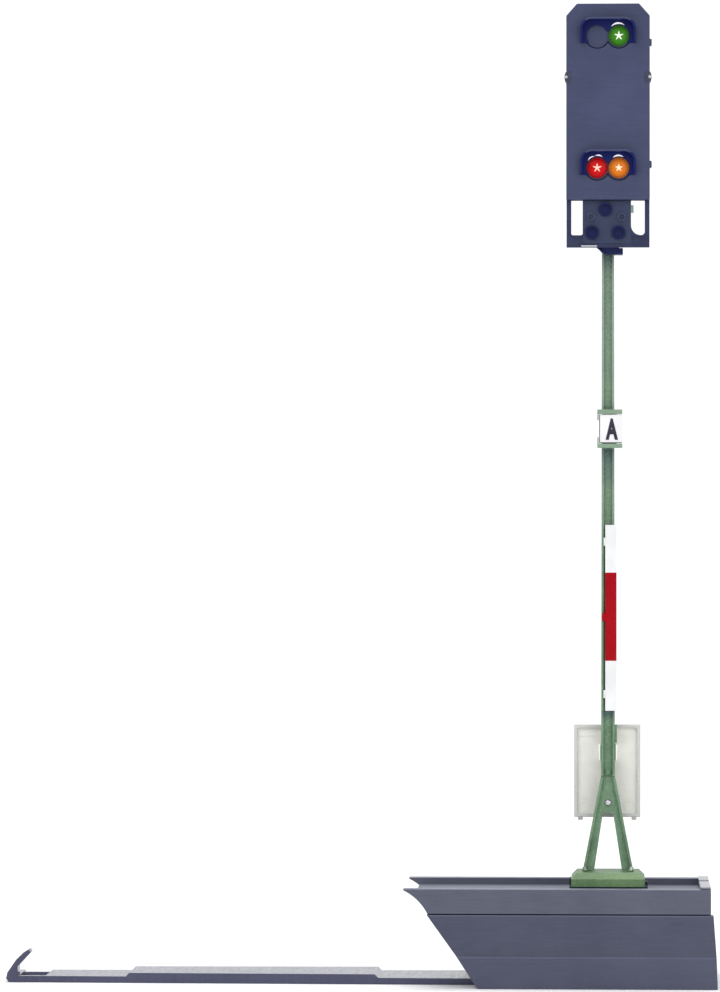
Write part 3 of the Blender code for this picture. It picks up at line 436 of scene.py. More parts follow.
def soften(piece, width, segments=2, angle=30):
    modify(piece, "BEVEL", width=width * mm, segments=segments, limit_method="ANGLE",
           angle_limit=math.radians(angle), use_clamp_overlap=True)
    selectOnly(piece)
    bpy.ops.object.shade_smooth_by_angle(angle=math.radians(38))
    return modify(piece, "WEIGHTED_NORMAL", keep_sharp=True)


def mouldedCopy(name, node, edge, segments=2):  # the CAD shape with its edges rounded as moulded
    piece = bpy.data.objects.new(name, nodes[node].data.copy())
    piece.data.name = name
    bpy.context.scene.collection.objects.link(piece)
    choose(piece, "VERT", lambda vertex: True)
    bpy.ops.mesh.remove_doubles(threshold=0.001 * mm)
    bpy.ops.mesh.dissolve_limited(angle_limit=math.radians(1))
    endEdit()
    return soften(piece, edge, segments)


def give(piece, body, finish, slot, *replaced):
    piece.data.materials.clear()
    piece.data.materials.append(finishes[finish].material)
    selectOnly(piece).select_set(False)
    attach(piece, body)
    if replaced:
        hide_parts(*replaced)
    return piece


def twoTone(piece, finish, test):  # the faces that pass the test take a second finish
    piece.data.materials.append(finishes[finish].material)
    for face in piece.data.polygons:
        if test(face):
            face.material_index = 1
    return piece


def corners(node):  # a node's lowest and highest corner, in millimetres
    low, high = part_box(node)
    return low / mm, high / mm


def middleOf(node):
    low, high = corners(node)
    return (low + high) / 2


# pieces whose CAD shape is right: the same shape, with moulded edges
mouldings = {
    "base": {
        "baseHousing": ("base_housing", 0.09, "slate"),
        "baseCover": ("base_cover", 0.05, "cover"),
        "baseFloor": ("base_floor", 0.06, "slate"),
        "floorScrewA": ("floor_screw_1", 0.03, "steel"),
        "floorScrewB": ("floor_screw_2", 0.03, "steel"),
        "terminalBlock": ("terminal_block", 0.08, "ivory"),
    },
    "arm": {
        "trackArm": ("track_arm", 0.05, "armSlate"),
    },
    "mast": {
        "trestle": ("trestle", 0.025, "mast"),
        "mastPost": ("mast_post", 0.02, "mast"),
        "letterHolder": ("letter_holder", 0.03, "mast"),
        "mastSign": ("mast_sign", 0.03, "signRedWhite"),
        "cabinetClip": ("cabinet_clip", 0.05, "ivory"),
        "headBracket": ("head_bracket", 0.04, "navy"),
        "signalShield": ("signal_shield", 0.05, "head"),
        "lampCase": ("lamp_case", 0.07, "head"),
        "platform": ("platform", 0.03, "navy"),
        "platformBracket": ("platform_bracket", 0.03, "navy"),
        "shuntLampLeft": ("shunt_lamp_left", 0.02, "head"),
        "shuntLampRight": ("shunt_lamp_right", 0.02, "head"),
    },
}
for body, pieces in mouldings.items():
    for name, (node, edge, finish) in pieces.items():
        give(mouldedCopy(name, node, edge), body, finish, slots[node], node)
print("mouldings made")

# inner pieces that a hood, a port or an open joint gives a glimpse of
insides = {
    "board": ("circuit_board", "lamp_board"),
    "black": ("driver_chip", "bridge_rectifier", "resistor_1", "resistor_2", "mast_socket"),
    "steel": ("smoothing_capacitor",),
    "brass": ("arm_latch", "plug_pin_1", "plug_pin_2", "plug_pin_3", "plug_pin_4"),
    "clear": ("green_led", "red_led", "orange_led"),
}
for finish, names in insides.items():
    for name in names:
        nodes[name].data.materials.clear()
        nodes[name].data.materials.append(finishes[finish].material)


# hood: an arched visor over a lamp pair, deepest at the top
hood = {"corner": 1.0, "wall": 0.20, "slant": 0.725, "edge": 0.03, "paleBand": 0.30, "lampHole": 0.93}
liner = {"thick": 0.05, "gap": 0.035, "wall": 0.18, "corner": 0.9, "between": 0.5, "betweenTop": 0.39}


def makeHood(name, node):
    low, high = corners(node)
    piece = addBlock(name, low, high)
    choose(piece, "EDGE", lambda edge: (
        all(vertex.co.z > (high.z - 0.01) * mm for vertex in edge.verts)
        and abs((edge.verts[0].co - edge.verts[1].co).y) > 0.5 * (high.y - low.y) * mm))
    bpy.ops.mesh.bevel(offset=hood["corner"] * mm, segments=10, affect="EDGES")
    endEdit()
    choose(piece, "FACE", lambda face: abs(face.normal.y) > 0.9 or face.normal.z < -0.9)
    bpy.ops.mesh.delete(type="FACE")
    endEdit()
    modify(piece, "SOLIDIFY", thickness=hood["wall"] * mm, offset=-1, use_even_offset=True)
    front = addBlock("hoodFront", (low.x - 1, low.y - 3, low.z - 1), (high.x + 1, low.y, high.z + 0.2))
    choose(front, "VERT", lambda vertex: vertex.co.y > (low.y - 1) * mm and vertex.co.z < low.z * mm)
    bpy.ops.transform.translate(value=(0, (high.y - low.y) * hood["slant"] * mm, 0))
    endEdit()
    combine(piece, "DIFFERENCE", front)
    return soften(piece, hood["edge"])


# liner: a thin plate of painted shade that fills the hood round the two lamps
def makeHoodLiner(name, node, centres):
    low, high = corners(node)
    wall, back = liner["wall"], high.y + liner["gap"]
    plate = addBlock(name, (low.x + wall, back - liner["thick"], low.z + 0.01),
                     (high.x - wall, back, high.z - wall))
    choose(plate, "EDGE", lambda edge: (
        all(vertex.co.z > (high.z - wall - 0.01) * mm for vertex in edge.verts)
        and abs((edge.verts[0].co - edge.verts[1].co).y) > 0.5 * liner["thick"] * mm))
    bpy.ops.mesh.bevel(offset=liner["corner"] * mm, segments=10, affect="EDGES")
    endEdit()
    for c in centres:
        hole = addRod("hole", hood["lampHole"], (c.x, back + 1, c.z), (c.x, back - 1, c.z), 64)
        combine(plate, "DIFFERENCE", hole)
    between = addBlock("between", (-liner["between"], back - 1, low.z - 1),
                       (liner["between"], back + 1, centres[-1].z + liner["betweenTop"]))
    combine(plate, "DIFFERENCE", between)
    return soften(plate, 0.01, 1)


lampPairs = {"upper": ("blank_lens", "green_lens"), "lower": ("red_lens", "orange_lens")}
for row, lensNodes in lampPairs.items():
    node = row + "_hood"
    piece = makeHood(row + "Hood", node)
    top = (corners(node)[1].z - hood["paleBand"]) * mm
    choose(piece, "FACE", lambda face: True)
    bpy.ops.mesh.bisect(plane_co=(0, 0, top), plane_no=(0, 0, 1))
    endEdit()
    give(piece, "mast", "head", "head_plastic", node)
    # below the pale top band, the hood's faces take painted shade
    twoTone(piece, "wellShadeBlue", lambda face: face.center.z < top or face.normal.z < -0.3)
    plate = makeHoodLiner(row + "HoodShadeLiner", node, [middleOf(lens) for lens in lensNodes])
    give(plate, "mast", "wellShadeBlue", "head_plastic")
print("hoods made")


# bezel: a twin pad for two lenses in front of a dark backing plate, which takes the well's painted shade
bezel = {"radius": 1.02, "bore": 0.90, "backing": 0.34, "padDepth": 0.3, "padEdge": 0.05, "backingEdge": 0.03}


def makeBezel(name, node, lensNodes):
    low, high = corners(node)
    centres = [middleOf(lens) for lens in lensNodes]
    padBack = high.y - bezel["padDepth"]
    pads = [addRod("pad", bezel["radius"], (c.x, padBack, c.z), (c.x, low.y, c.z), 64) for c in centres]
    pad = combine(pads[0], "UNION", pads[1])
    backing = addBlock(name + "Backing", (low.x, high.y - bezel["backing"], low.z), high)
    for piece in (pad, backing):
        for c in centres:
            bore = addRod("bore", bezel["bore"], (c.x, high.y + 1, c.z), (c.x, low.y - 1, c.z), 64)
            combine(piece, "DIFFERENCE", bore)
    pad.name = pad.data.name = name
    return soften(pad, bezel["padEdge"], 3), soften(backing, bezel["backingEdge"])


for row, lensNodes in lampPairs.items():
    pad, backing = makeBezel(row + "Bezel", row + "_bezel", lensNodes)
    give(pad, "mast", "head", "head_plastic", row + "_bezel")
    # the backing takes the well's painted shade
    give(backing, "mast", "wellShadeBlue", "head_plastic")


# lens: a rimmed disc whose face rises in rings to a shallow dome
lens = {"rim": 0.10, "rings": 5, "rise": 0.16, "spread": 0.03, "groove": 0.05, "grooveWidth": 0.02}


def makeLens(name, node):
    low, high = corners(node)
    middle = (low + high) / 2
    radius = (high.x - low.x) / 2 + lens["spread"]
    piece = addRod(name, radius, (middle.x, high.y, middle.z), (middle.x, low.y + lens["rise"], middle.z), 64)
    choose(piece, "FACE", facing(0, -1, 0))
    bpy.ops.mesh.inset(thickness=lens["rim"] * mm)
    bpy.ops.transform.translate(value=(0, lens["groove"] * mm, 0))
    bpy.ops.mesh.inset(thickness=lens["grooveWidth"] * mm)
    bpy.ops.transform.translate(value=(0, -lens["groove"] * mm, 0))
    rings = lens["rings"]
    step = (radius - lens["rim"] - 2 * lens["grooveWidth"]) / (rings + 0.4)
    dome = [lens["rise"] * math.sin(ring / rings * math.pi / 2) for ring in range(rings + 1)]
    for ring in range(rings):
        bpy.ops.mesh.inset(thickness=step * mm)
        bpy.ops.transform.translate(value=(0, (dome[ring] - dome[ring + 1]) * mm, 0))
    endEdit()
    return soften(piece, 0.012, 2, 50)


litLamps = {
    "greenLens": {"node": "green_lens", "colour": (0.034, 0.180, 0.006),
                  "core": {"arms": 0.25, "radius": 0.14, "strength": 1.0, "light": (0.95, 1.0, 0.90)}},
    "redLens": {"node": "red_lens", "colour": (0.500, 0.000, 0.003),
                "core": {"arms": 0.24, "radius": 0.13, "strength": 1.0, "light": (1.0, 0.72, 0.55)}},
    "orangeLens": {"node": "orange_lens", "colour": (0.600, 0.150, 0.008),
                   "core": {"arms": 0.16, "radius": 0.16, "strength": 1.0, "light": (1.0, 0.84, 0.62)}},
}
for name, values in litLamps.items():
    node = values["node"]
    centre = middleOf(node)
    finishes[name] = litLens(name + "Tint", values["colour"], (centre.x, centre.z), values["core"])
    give(makeLens(name, node), "mast", name, slots[node], node)

# blank: a plain disc nearly flush with its pad, faintly dished
blankDisc = {"play": 0.005, "sunk": 0.01, "border": 0.3, "dish": 0.012, "edge": 0.01}
padFront = corners("upper_bezel")[0].y
centre = middleOf("blank_lens")
blank = addRod("blankLens", bezel["bore"] - blankDisc["play"],
               (centre.x, corners("blank_lens")[1].y, centre.z),
               (centre.x, padFront + blankDisc["sunk"], centre.z), 64)
choose(blank, "FACE", facing(0, -1, 0))
bpy.ops.mesh.inset(thickness=blankDisc["border"] * mm)
bpy.ops.transform.translate(value=(0, blankDisc["dish"] * mm, 0))
endEdit()
give(soften(blank, blankDisc["edge"]), "mast", "head", "head_plastic", "blank_lens")


# lamp collar: its upper edge shows as a bright crescent just above each lit lens, a faint glow that is partly
# the lamp's spill and partly a painted highlight
def makeCrescent(name, centre, inner, thick, half, towards, span):
    outer = inner + thick
    shift = (outer ** 2 - inner ** 2) / (2 * (outer - inner * math.cos(math.radians(half))))
    x = centre.x + shift * math.cos(math.radians(towards))
    z = centre.z + shift * math.sin(math.radians(towards))
    front, back = span
    piece = addRod(name, outer - shift, (x, back, z), (x, front, z), 48)
    bore = addRod("bore", inner, (centre.x, back + 1, centre.z), (centre.x, front - 1, centre.z), 96)
    return soften(combine(piece, "DIFFERENCE", bore), 0.006, 1)


collars = {  # inner radius, thickness, half angle, direction
    "greenLens": ((1.03, 0.15, 34, 96),),
    "redLens": ((1.02, 0.10, 20, 122), (1.05, 0.11, 19, 82)),
    "orangeLens": ((1.01, 0.14, 28, 94),),
}
hoodBack = corners("upper_hood")[1].y
collarSpan = (hoodBack - 0.045, hoodBack - 0.005)
for name, arcs in collars.items():
    centre = middleOf(litLamps[name]["node"])
    for index, (inner, thick, half, towards) in enumerate(arcs):
        piece = makeCrescent(name + "Collar" + "AB"[index], centre, inner, thick, half, towards, collarSpan)
        give(piece, "mast", "spillHighlight", "head_plastic")
print("lamps made")


# lower frame: two windows beside a raised centre plate, with a beam below
lowerFrame = {
    "centre": (-2.18, 1.98, 64.30, 68.04),  # left, right, bottom, top
    "step": 0.06,
    "edge": 0.03,
    "windows": ((-3.19, -2.20, 65.02, 68.02), (2.00, 3.19, 65.02, 68.02)),
    "windowCorners": ((0.16, 0.16), (0.85, 0.32)),  # lower left, lower right
    "slot": (-2.33, -0.90, 64.05, 64.13),
    "beamPanels": ((-3.52, -2.32, 64.12, 64.90), (2.12, 3.50, 64.12, 64.90)),
    "beamSink": 0.13,
    "peg": {"x": 2.02, "radius": 0.20, "low": 66.95, "high": 67.62},
}


def windowTool(sides, lowerCorners):
    left, right, bottom, top = sides
    tool = addBlock("window", (left, -3, bottom), (right, 0, top))
    for side, radius in zip((left, right), lowerCorners):
        choose(tool, "EDGE", lambda edge: all(
            abs(vertex.co.x - side * mm) < 0.01 * mm and abs(vertex.co.z - bottom * mm) < 0.01 * mm
            for vertex in edge.verts))
        bpy.ops.mesh.bevel(offset=radius * mm, segments=8, affect="EDGES")
        endEdit()
    return tool


low, high = corners("lower_frame")
frameBody = addBlock("lowerFrame", (low.x, low.y + lowerFrame["step"], low.z), high)
combine(frameBody, "DIFFERENCE", *map(windowTool, lowerFrame["windows"], lowerFrame["windowCorners"]))
left, right, bottom, top = lowerFrame["slot"]
combine(frameBody, "DIFFERENCE", addBlock("slot", (left, low.y - 1, bottom), (right, high.y + 1, top)))
for left, right, bottom, top in lowerFrame["beamPanels"]:
    panel = addBlock("beamPanel", (left, low.y - 1, bottom), (right, low.y + lowerFrame["beamSink"], top))
    combine(frameBody, "DIFFERENCE", panel)
give(soften(frameBody, lowerFrame["edge"]), "mast", "frameBlue", "head_plastic", "lower_frame")
left, right, bottom, top = lowerFrame["centre"]
centrePlate = addBlock("centrePlate", (left, low.y, bottom), (right, low.y + 0.2, top))
give(soften(centrePlate, 0.04), "mast", "centre", "head_plastic")
pegAt = lowerFrame["peg"]
peg = addRod("centrePeg", pegAt["radius"], (pegAt["x"], low.y + 0.25, pegAt["low"]),
             (pegAt["x"], low.y + 0.25, pegAt["high"]), 20)
choose(peg, "FACE", lambda face: abs(face.normal.z) > 0.9)
bpy.ops.mesh.inset(thickness=0.06 * mm)
bpy.ops.transform.resize(value=(0.8, 0.8, 1))
endEdit()
give(soften(peg, 0.04), "mast", "mast", "head_plastic")

# call-on lamps: short dark hooded tubes on the centre plate, cut back below
callOn = {"bore": 0.42, "floor": 0.08, "cut": 0.51, "edge": 0.025}


def makeCallOnLamp(name, node):
    low, high = corners(node)
    middle = (low + high) / 2
    radius = (high.x - low.x) / 2
    tube = addRod(name, radius, (middle.x, high.y, middle.z), (middle.x, low.y, middle.z), 48)
    bore = addRod("bore", callOn["bore"], (middle.x, high.y - callOn["floor"], middle.z),
                  (middle.x, low.y - 1, middle.z), 48)
    combine(tube, "DIFFERENCE", bore)
    front = addBlock("front", (low.x - 1, low.y - 2, low.z - 1), (high.x + 1, low.y, high.z + 0.1))
    choose(front, "VERT", lambda vertex: vertex.co.y > (low.y - 1) * mm and vertex.co.z < low.z * mm)
    bpy.ops.transform.translate(value=(0, callOn["cut"] * mm, 0))
    endEdit()
    combine(tube, "DIFFERENCE", front)
    return soften(tube, callOn["edge"])


for side in ("top", "left", "right"):
    give(makeCallOnLamp("callOnLamp" + side.capitalize(), "call_on_lamp_" + side), "mast", "navy",
         "head_plastic", "call_on_lamp_" + side)

# clips on the shield's edges: a rounded lug with a riveted end
shieldClip = {"reach": 0.55, "flat": 0.54, "middle": 3.48, "rivet": 0.13, "rivetAt": 3.62}
for side, way in (("Left", -1), ("Right", 1)):
    node = "shield_clip_" + side.lower()
    low, high = corners(node)
    x, z = way * shieldClip["middle"], (low.z + high.z) / 2
    lug = addRod("shieldClip" + side, shieldClip["reach"], (0, high.y, 0), (0, low.y + 0.06, 0), 48)
    lug.scale = (shieldClip["flat"], 1, 1)
    settle(lug)
    lug.location = (x * mm, 0, z * mm)
    give(soften(settle(lug), 0.10, 4), "mast", "clipLug", "head_plastic", node)
    x = way * shieldClip["rivetAt"]
    rivet = addRod("clipRivet" + side, shieldClip["rivet"], (x, low.y + 0.12, z), (x, low.y + 0.03, z), 24)
    choose(rivet, "FACE", facing(0, -1, 0))
    bpy.ops.mesh.inset(thickness=0.04 * mm)
    bpy.ops.transform.translate(value=(0, -0.02 * mm, 0))
    endEdit()
    give(soften(rivet, 0.02), "mast", "steel", "head_plastic")

# lid on the head's rear: sunk panel, louvres and a screw in each corner
caseLid = {"margin": 0.45, "sink": 0.10, "louvres": 5, "louvreRows": (72.4, 80.0), "pitch": 0.62,
           "slit": 0.22, "screw": 0.26, "screwX": 2.35, "screwRows": (69.6, 82.4)}
low, high = corners("case_back")
lid = mouldedCopy("caseLid", "case_back", 0.05)
choose(lid, "FACE", lambda face: face.normal.y > 0.99 and face.calc_center_median().y > (high.y - 0.02) * mm)
bpy.ops.mesh.inset(thickness=caseLid["margin"] * mm)
bpy.ops.transform.translate(value=(0, -caseLid["sink"] * mm, 0))
endEdit()
floorY = high.y - caseLid["sink"]
for row in range(caseLid["louvres"]):
    for start in caseLid["louvreRows"]:
        z = start + row * caseLid["pitch"]
        louvre = addBlock("louvre", (-1.5, floorY - 0.14, z), (1.5, floorY + 1, z + caseLid["slit"]))
        combine(lid, "DIFFERENCE", louvre)
for name, z in (("lidRibLow", 71.6), ("lidRibHigh", 79.2)):
    rib = addBlock(name, (-2.0, floorY - 0.02, z), (2.0, high.y - 0.02, z + 0.16))
    give(soften(rib, 0.03), "mast", "head", "head_plastic")
give(soften(lid, 0.03), "mast", "head", "head_plastic", "case_back")
screwPlaces = [(way * caseLid["screwX"], z) for z in caseLid["screwRows"] for way in (-1, 1)]
for index, (x, z) in enumerate(screwPlaces):
    head = addRod("lidScrew" + "ABCD"[index], caseLid["screw"], (x, floorY - 0.02, z),
                  (x, high.y - 0.015, z), 28)
    slot = addBlock("screwSlot", (x - 0.3, high.y - 0.06, z - 0.035), (x + 0.3, high.y + 1, z + 0.035))
    combine(head, "DIFFERENCE", slot)
    give(soften(head, 0.02), "mast", "steel", "head_plastic")

# brace under the lower frame
brace = addRod("frameBrace", 0.06, (-1.00, -1.60, 64.02), (-0.42, -1.40, 63.52), 16)
choose(brace, "FACE", lambda face: len(face.verts) > 4)
bpy.ops.mesh.inset(thickness=0.02 * mm)
endEdit()
give(soften(brace, 0.015), "mast", "navy", "head_plastic")

# the head bracket's lower corner is cut away at a slant beside the brace
bracket = bpy.data.objects["headBracket"]
choose(bracket, "FACE", lambda face: True)
bpy.ops.mesh.bisect(plane_co=(-0.64 * mm, 0, 63.68 * mm), plane_no=(-0.64, 0, -0.768), clear_outer=True,
                    use_fill=True)
endEdit()
print("head details made")


# web lattice: rows of small raised chevrons on both faces of the web
lattice = {"half": 0.29, "rise": 0.20, "pitch": 0.45, "bar": 0.10, "relief": 0.06, "low": 19.0, "high": 65.6}


def makeLattice(name, face):
    low, high = sorted((face * 0.21, face * (0.22 + lattice["relief"])))
    chevron = addBlock(name, (-lattice["half"], low, lattice["low"]),
                       (lattice["half"], high, lattice["low"] + lattice["bar"]))
    choose(chevron, "EDGE", lambda edge: abs((edge.verts[0].co - edge.verts[1].co).x) > 0.1 * mm)
    bpy.ops.mesh.subdivide(number_cuts=1)
    endEdit()
    choose(chevron, "VERT", lambda vertex: abs(vertex.co.x) < 0.02 * mm)
    bpy.ops.transform.translate(value=(0, 0, lattice["rise"] * mm))
    endEdit()
    count = int((lattice["high"] - lattice["low"]) / lattice["pitch"])
    modify(chevron, "ARRAY", count=count, use_relative_offset=False, use_constant_offset=True,
           constant_offset_displace=(0, 0, lattice["pitch"] * mm))
    return soften(chevron, 0.012, 1)


for name, face in (("webLatticeFront", -1), ("webLatticeRear", 1)):
    give(makeLattice(name, face), "mast", "lattice", "mast_green")

# lamp leads: four enamelled wires, lightly twisted, in the channel behind the web
leads = {"radius": 0.055, "spread": 0.075, "depth": 0.45, "twist": 0.35, "step": 1.2}
leadRoute = [(-1.62, 8.95), (-1.62, 9.65), (-0.76, 14.7), (-0.52, 15.8), (-0.12, 17.2), (0, 18.5), (0, 40),
             (0, 66.4), (0, 69.6)]


def makeWire(name, start):
    places = []
    for (x0, z0), (x1, z1) in zip(leadRoute, leadRoute[1:]):
        steps = max(1, round((z1 - z0) / leads["step"]))
        places += [(x0 + (x1 - x0) * i / steps, z0 + (z1 - z0) * i / steps) for i in range(steps)]
    places.append(leadRoute[-1])
    curve = bpy.data.curves.new(name, "CURVE")
    curve.dimensions = "3D"
    curve.bevel_depth = leads["radius"] * mm
    curve.bevel_resolution = 2
    curve.use_fill_caps = True
    spline = curve.splines.new("POLY")
    spline.points.add(len(places) - 1)
    for point, (x, z) in zip(spline.points, places):
        turn = start + leads["twist"] * math.sin(z * 0.55)
        place = Vector((x + leads["spread"] * math.cos(turn),
                        leads["depth"] + leads["spread"] * math.sin(turn), z))
        point.co = (*(place * mm), 1)
    wire = bpy.data.objects.new(name, curve)
    bpy.context.scene.collection.objects.link(wire)
    selectOnly(wire)
    bpy.ops.object.convert(target="MESH")
    bpy.ops.object.shade_smooth()
    return bpy.context.object


for index, finish in enumerate(("enamelWireRed", "enamelWireGreen", "enamelWireRed", "enamelWireGreen")):
    wire = makeWire("lampLead" + "ABCD"[index], index * math.pi / 2 + 0.5)
    give(wire, "mast", finish, "copper_enamel", *(("lamp_leads",) if index == 0 else ()))

# letter plate: white enamel with a painted shade line along two edges, and a plain letter
letterPlate = {"line": 0.07, "letter": "A", "width": 1.08, "height": 1.86, "place": (0.33, 48.17),
               "raise": 0.03}
low, high = corners("letter_plate")
card = addBlock("letterPlate", (low.x, low.y + letterPlate["raise"], low.z), high)
give(soften(card, 0.04), "mast", "plateWhite", "sign_white", "letter_plate")
# painted shade: dark strips along the plate's left and bottom edges
line, front, back = letterPlate["line"], low.y + 0.01, low.y + 0.06
edges = [addBlock("plateEdge", (low.x, front, low.z), (low.x + line, back, high.z)),
         addBlock("plateEdge", (low.x + line, front, low.z), (high.x - 0.03, back, low.z + line))]
give(soften(joined("plateEdgeShade", edges), 0.01, 1), "mast", "plateInkAndShade", "sign_white")
clearSelection()
bpy.ops.object.text_add(location=(0, 0, 0))
glyph = bpy.context.object
glyph.data.body = letterPlate["letter"]
glyph.data.size = 0.002
glyph.data.offset = 0.0001
glyph.data.extrude = 0.5 * letterPlate["raise"] * mm
selectOnly(glyph)
bpy.ops.object.convert(target="MESH")
glyph = bpy.context.object
glyph.name = glyph.data.name = "plateLetter"
glyph.rotation_euler = (math.pi / 2, 0, 0)
settle(glyph)
xs = [vertex.co.x for vertex in glyph.data.vertices]
zs = [vertex.co.z for vertex in glyph.data.vertices]
glyph.scale = (letterPlate["width"] * mm / (max(xs) - min(xs)), 1,
               letterPlate["height"] * mm / (max(zs) - min(zs)))
settle(glyph)
xs = [vertex.co.x for vertex in glyph.data.vertices]
zs = [vertex.co.z for vertex in glyph.data.vertices]
x, z = letterPlate["place"]
glyph.location = (x * mm - (min(xs) + max(xs)) / 2, (low.y + 0.6 * letterPlate["raise"]) * mm,
                  z * mm - (min(zs) + max(zs)) / 2)
settle(glyph)
give(glyph, "mast", "plateInkAndShade", "sign_white")
print("mast details made")


# cabinet: thin moulded tray with low relief inside and a pair of doors on its back
cabinet = {"edge": 0.06, "ridge": 0.05, "ring": 0.46, "groove": 0.07, "vent": (1.3, 0.12), "ventPitch": 0.28}
low, high = corners("cabinet")
cabinetFloor = low.y + 0.35
tray = mouldedCopy("cabinetTray", "cabinet", cabinet["edge"], 3)
for left, bottom, right, top in ((low.x + 0.35, 14.62, low.x + 0.42, 22.0), (-0.10, 14.62, -0.03, 22.0),
                                 (high.x - 0.42, 14.62, high.x - 0.35, 22.0),
                                 (low.x + 0.35, 14.58, high.x - 0.35, 14.65),
                                 (low.x + 0.35, 21.97, high.x - 0.35, 22.04)):
    combine(tray, "DIFFERENCE",
            addBlock("doorGroove", (left, high.y - cabinet["groove"], bottom), (right, high.y + 1, top)))
for left in (-2.0, 0.5):
    for row in range(4):
        wide, tall = cabinet["vent"]
        z = 20.6 + cabinet["ventPitch"] * row
        combine(tray, "DIFFERENCE",
                addBlock("vent", (left, high.y - 0.10, z), (left + wide, high.y + 1, z + tall)))
give(soften(tray, 0.02), "mast", "cabinetIvory", "ivory_plastic", "cabinet")
# the rim and the inner walls in front of the tray's floor take painted shade
twoTone(tray, "rimShade", lambda face: face.center.y < (cabinetFloor - 0.05) * mm)
ridges = ((-2.60, -2.05, 19.96, 20.04), (1.75, 2.20, 19.96, 20.04), (-2.50, -1.10, 21.30, 21.36),
          (-2.60, -2.00, 15.95, 16.01))
ridgeFront, ridgeBack = cabinetFloor - cabinet["ridge"], cabinetFloor + 0.02
relief = [addBlock("ridge", (left, ridgeFront, bottom), (right, ridgeBack, top))
          for left, right, bottom, top in ridges]
for x, z in ((1.85, 15.25), (-2.05, 15.15)):
    ring = addRod("ejectorRing", cabinet["ring"], (x, cabinetFloor - 0.04, z), (x, ridgeBack, z), 40)
    bore = addRod("bore", cabinet["ring"] - 0.06, (x, cabinetFloor - 1, z), (x, cabinetFloor + 1, z), 40)
    relief.append(combine(ring, "DIFFERENCE", bore))
give(soften(joined("cabinetRelief", relief), 0.012, 1), "mast", "cabinetIvory", "ivory_plastic")

# foot plate, the dark socket rim round it, and the bolts at the trestle's feet
foot = {"edge": 0.045, "room": 0.03, "rim": 0.13, "rimTop": 8.50, "leftLugTop": 9.05, "rightLugTop": 8.76}
low, high = corners("foot_plate")
give(mouldedCopy("footPlate", "foot_plate", foot["edge"], 3), "mast", "foot", "mast_green", "foot_plate")
gap, wall = foot["room"], foot["rim"]
rim = addBlock("socketRim", (low.x - gap - wall, low.y - gap - wall, low.z),
               (high.x + gap + wall, high.y + gap + wall, foot["rimTop"]))
lugs = ((low.x - gap - wall, low.x - gap, foot["leftLugTop"]),
        (high.x + gap, high.x + gap + wall + 0.1, foot["rightLugTop"]))
for left, right, top in lugs:
    combine(rim, "UNION", addBlock("lug", (left, -0.9, low.z), (right, 0.9, top)))
combine(rim, "DIFFERENCE", addBlock("room", (low.x - gap, low.y - gap, low.z - 1),
                                    (high.x + gap, high.y + gap, foot["rimTop"] + 2)))
# the socket rim is near-black, darker than the base round it
give(soften(rim, 0.025), "base", "socketDark", "slate_plastic")
for index in range(4):
    node = f"foot_bolt_{index + 1}"
    give(mouldedCopy("footBolt" + "ABCD"[index], node, 0.03), "mast", "bolt", "mast_green", node)
webBolt = addRod("webBolt", 0.27, (0, 0.40, 15.6), (0, -0.40, 15.6), 6)
choose(webBolt, "FACE", lambda face: abs(face.normal.y) > 0.9)
bpy.ops.mesh.inset(thickness=0.10 * mm)
bpy.ops.transform.resize(value=(1, 1.1, 1))
endEdit()
give(soften(webBolt, 0.03), "mast", "steel", "mast_green")

# end clip: two snap blocks side by side, the near one hooked over the rim
endClip = {"gap": (-0.10, 1.00), "hook": 1.45, "hookLow": 8.60, "bridgeTop": 8.35, "edge": 0.05}
low, high = corners("end_clip")
gapFront, gapBack = endClip["gap"]
near = addBlock("endClip", low, (high.x, gapFront, high.z))
hook = addBlock("hook", (low.x, low.y - endClip["hook"], endClip["hookLow"]), (high.x, low.y + 0.3, high.z))
far = addBlock("far", (low.x, gapBack, low.z), high)
bridge = addBlock("bridge", (low.x + 0.15, gapFront - 0.2, low.z),
                  (high.x - 0.05, gapBack + 0.2, endClip["bridgeTop"]))
combine(near, "UNION", hook, far, bridge)
give(soften(near, endClip["edge"], 3), "base", "clipSlate", "slate_plastic", "end_clip")
print("base details made")


# camera, lights and floor
camera = {"distance": 480, "height": 42.35, "aimX": -21.66, "lens": 199.45}
clearSelection()
yaw = math.atan2(-camera["aimX"], camera["distance"])
bpy.ops.object.camera_add(location=(0, -camera["distance"] * mm, camera["height"] * mm),
                          rotation=(math.pi / 2, 0, yaw))
shot = bpy.context.object
shot.data.lens = camera["lens"]
shot.data.clip_start, shot.data.clip_end = 0.005, 20
bpy.context.scene.camera = shot

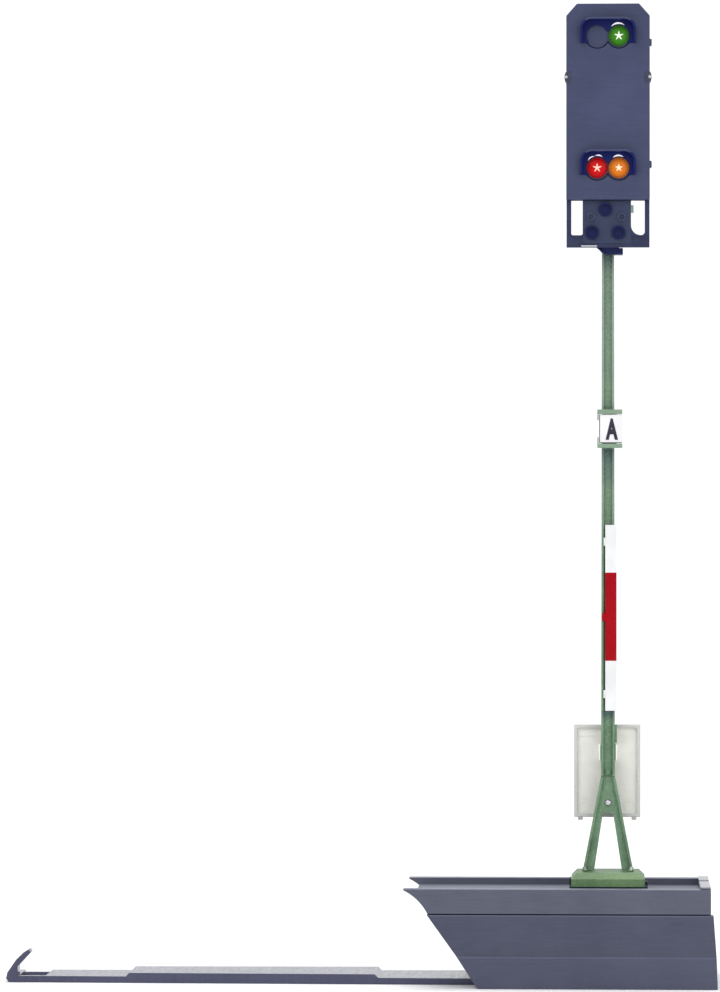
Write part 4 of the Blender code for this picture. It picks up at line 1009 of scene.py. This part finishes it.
lights = {
    "keyLight": {"at": (-0.30, -0.55, 0.50), "size": 0.45, "power": 2.0},
    "fillLight": {"at": (0.35, -0.55, 0.20), "size": 0.45, "power": 1.25},
    "topLight": {"at": (0.0, 0.05, 0.60), "size": 0.50, "power": 1.5},
    "wallLight": {"at": (0.0, 0.25, 1.10), "size": 0.80, "power": 4.0, "aim": (0, 0.9, 0.55)},
}
for name, values in lights.items():
    place = Vector(values["at"])
    target = Vector(values.get("aim", (-0.012, 0, 0.04)))
    bpy.ops.object.light_add(type="AREA", location=place,
                             rotation=(target - place).to_track_quat("-Z", "Y").to_euler())
    lamp = bpy.context.object
    lamp.name = name
    lamp.data.size = values["size"]
    lamp.data.energy = values["power"]

floor = {"width": 3.0, "front": -1.2, "back": 0.9, "height": 1.6, "sweep": 0.5}
clearSelection()
bpy.ops.mesh.primitive_plane_add(size=1, location=(0, (floor["front"] + floor["back"]) / 2, 0))
ground = bpy.context.object
ground.name = "studioFloor"
ground.scale = (floor["width"], floor["back"] - floor["front"], 1)
settle(ground)
choose(ground, "EDGE", lambda edge: all(vertex.co.y > 0 for vertex in edge.verts))
bpy.ops.mesh.extrude_region_move(TRANSFORM_OT_translate={"value": (0, 0, floor["height"])})
endEdit()
choose(ground, "EDGE", lambda edge: all(abs(vertex.co.y - floor["back"]) < 0.01 and vertex.co.z < 0.01
                                        for vertex in edge.verts))
bpy.ops.mesh.bevel(offset=floor["sweep"], segments=16, affect="EDGES")
endEdit()
selectOnly(ground)
bpy.ops.object.shade_smooth()
paper = Finish("studioPaper", Roughness=0.9)
paper.feed(Base_Color=paper.mix(paper.noise(0.01, 3), (0.90, 0.90, 0.90), (0.93, 0.93, 0.93)))
ground.data.materials.append(paper.material)

world = bpy.data.worlds.new("studioAir")
bpy.context.scene.world = world
world.use_nodes = True
world.node_tree.nodes["Background"].inputs["Color"].default_value = (0.95, 0.97, 1.0, 1)
world.node_tree.nodes["Background"].inputs["Strength"].default_value = 0.57
bpy.context.scene.view_settings.view_transform = "Standard"
print("studio made")
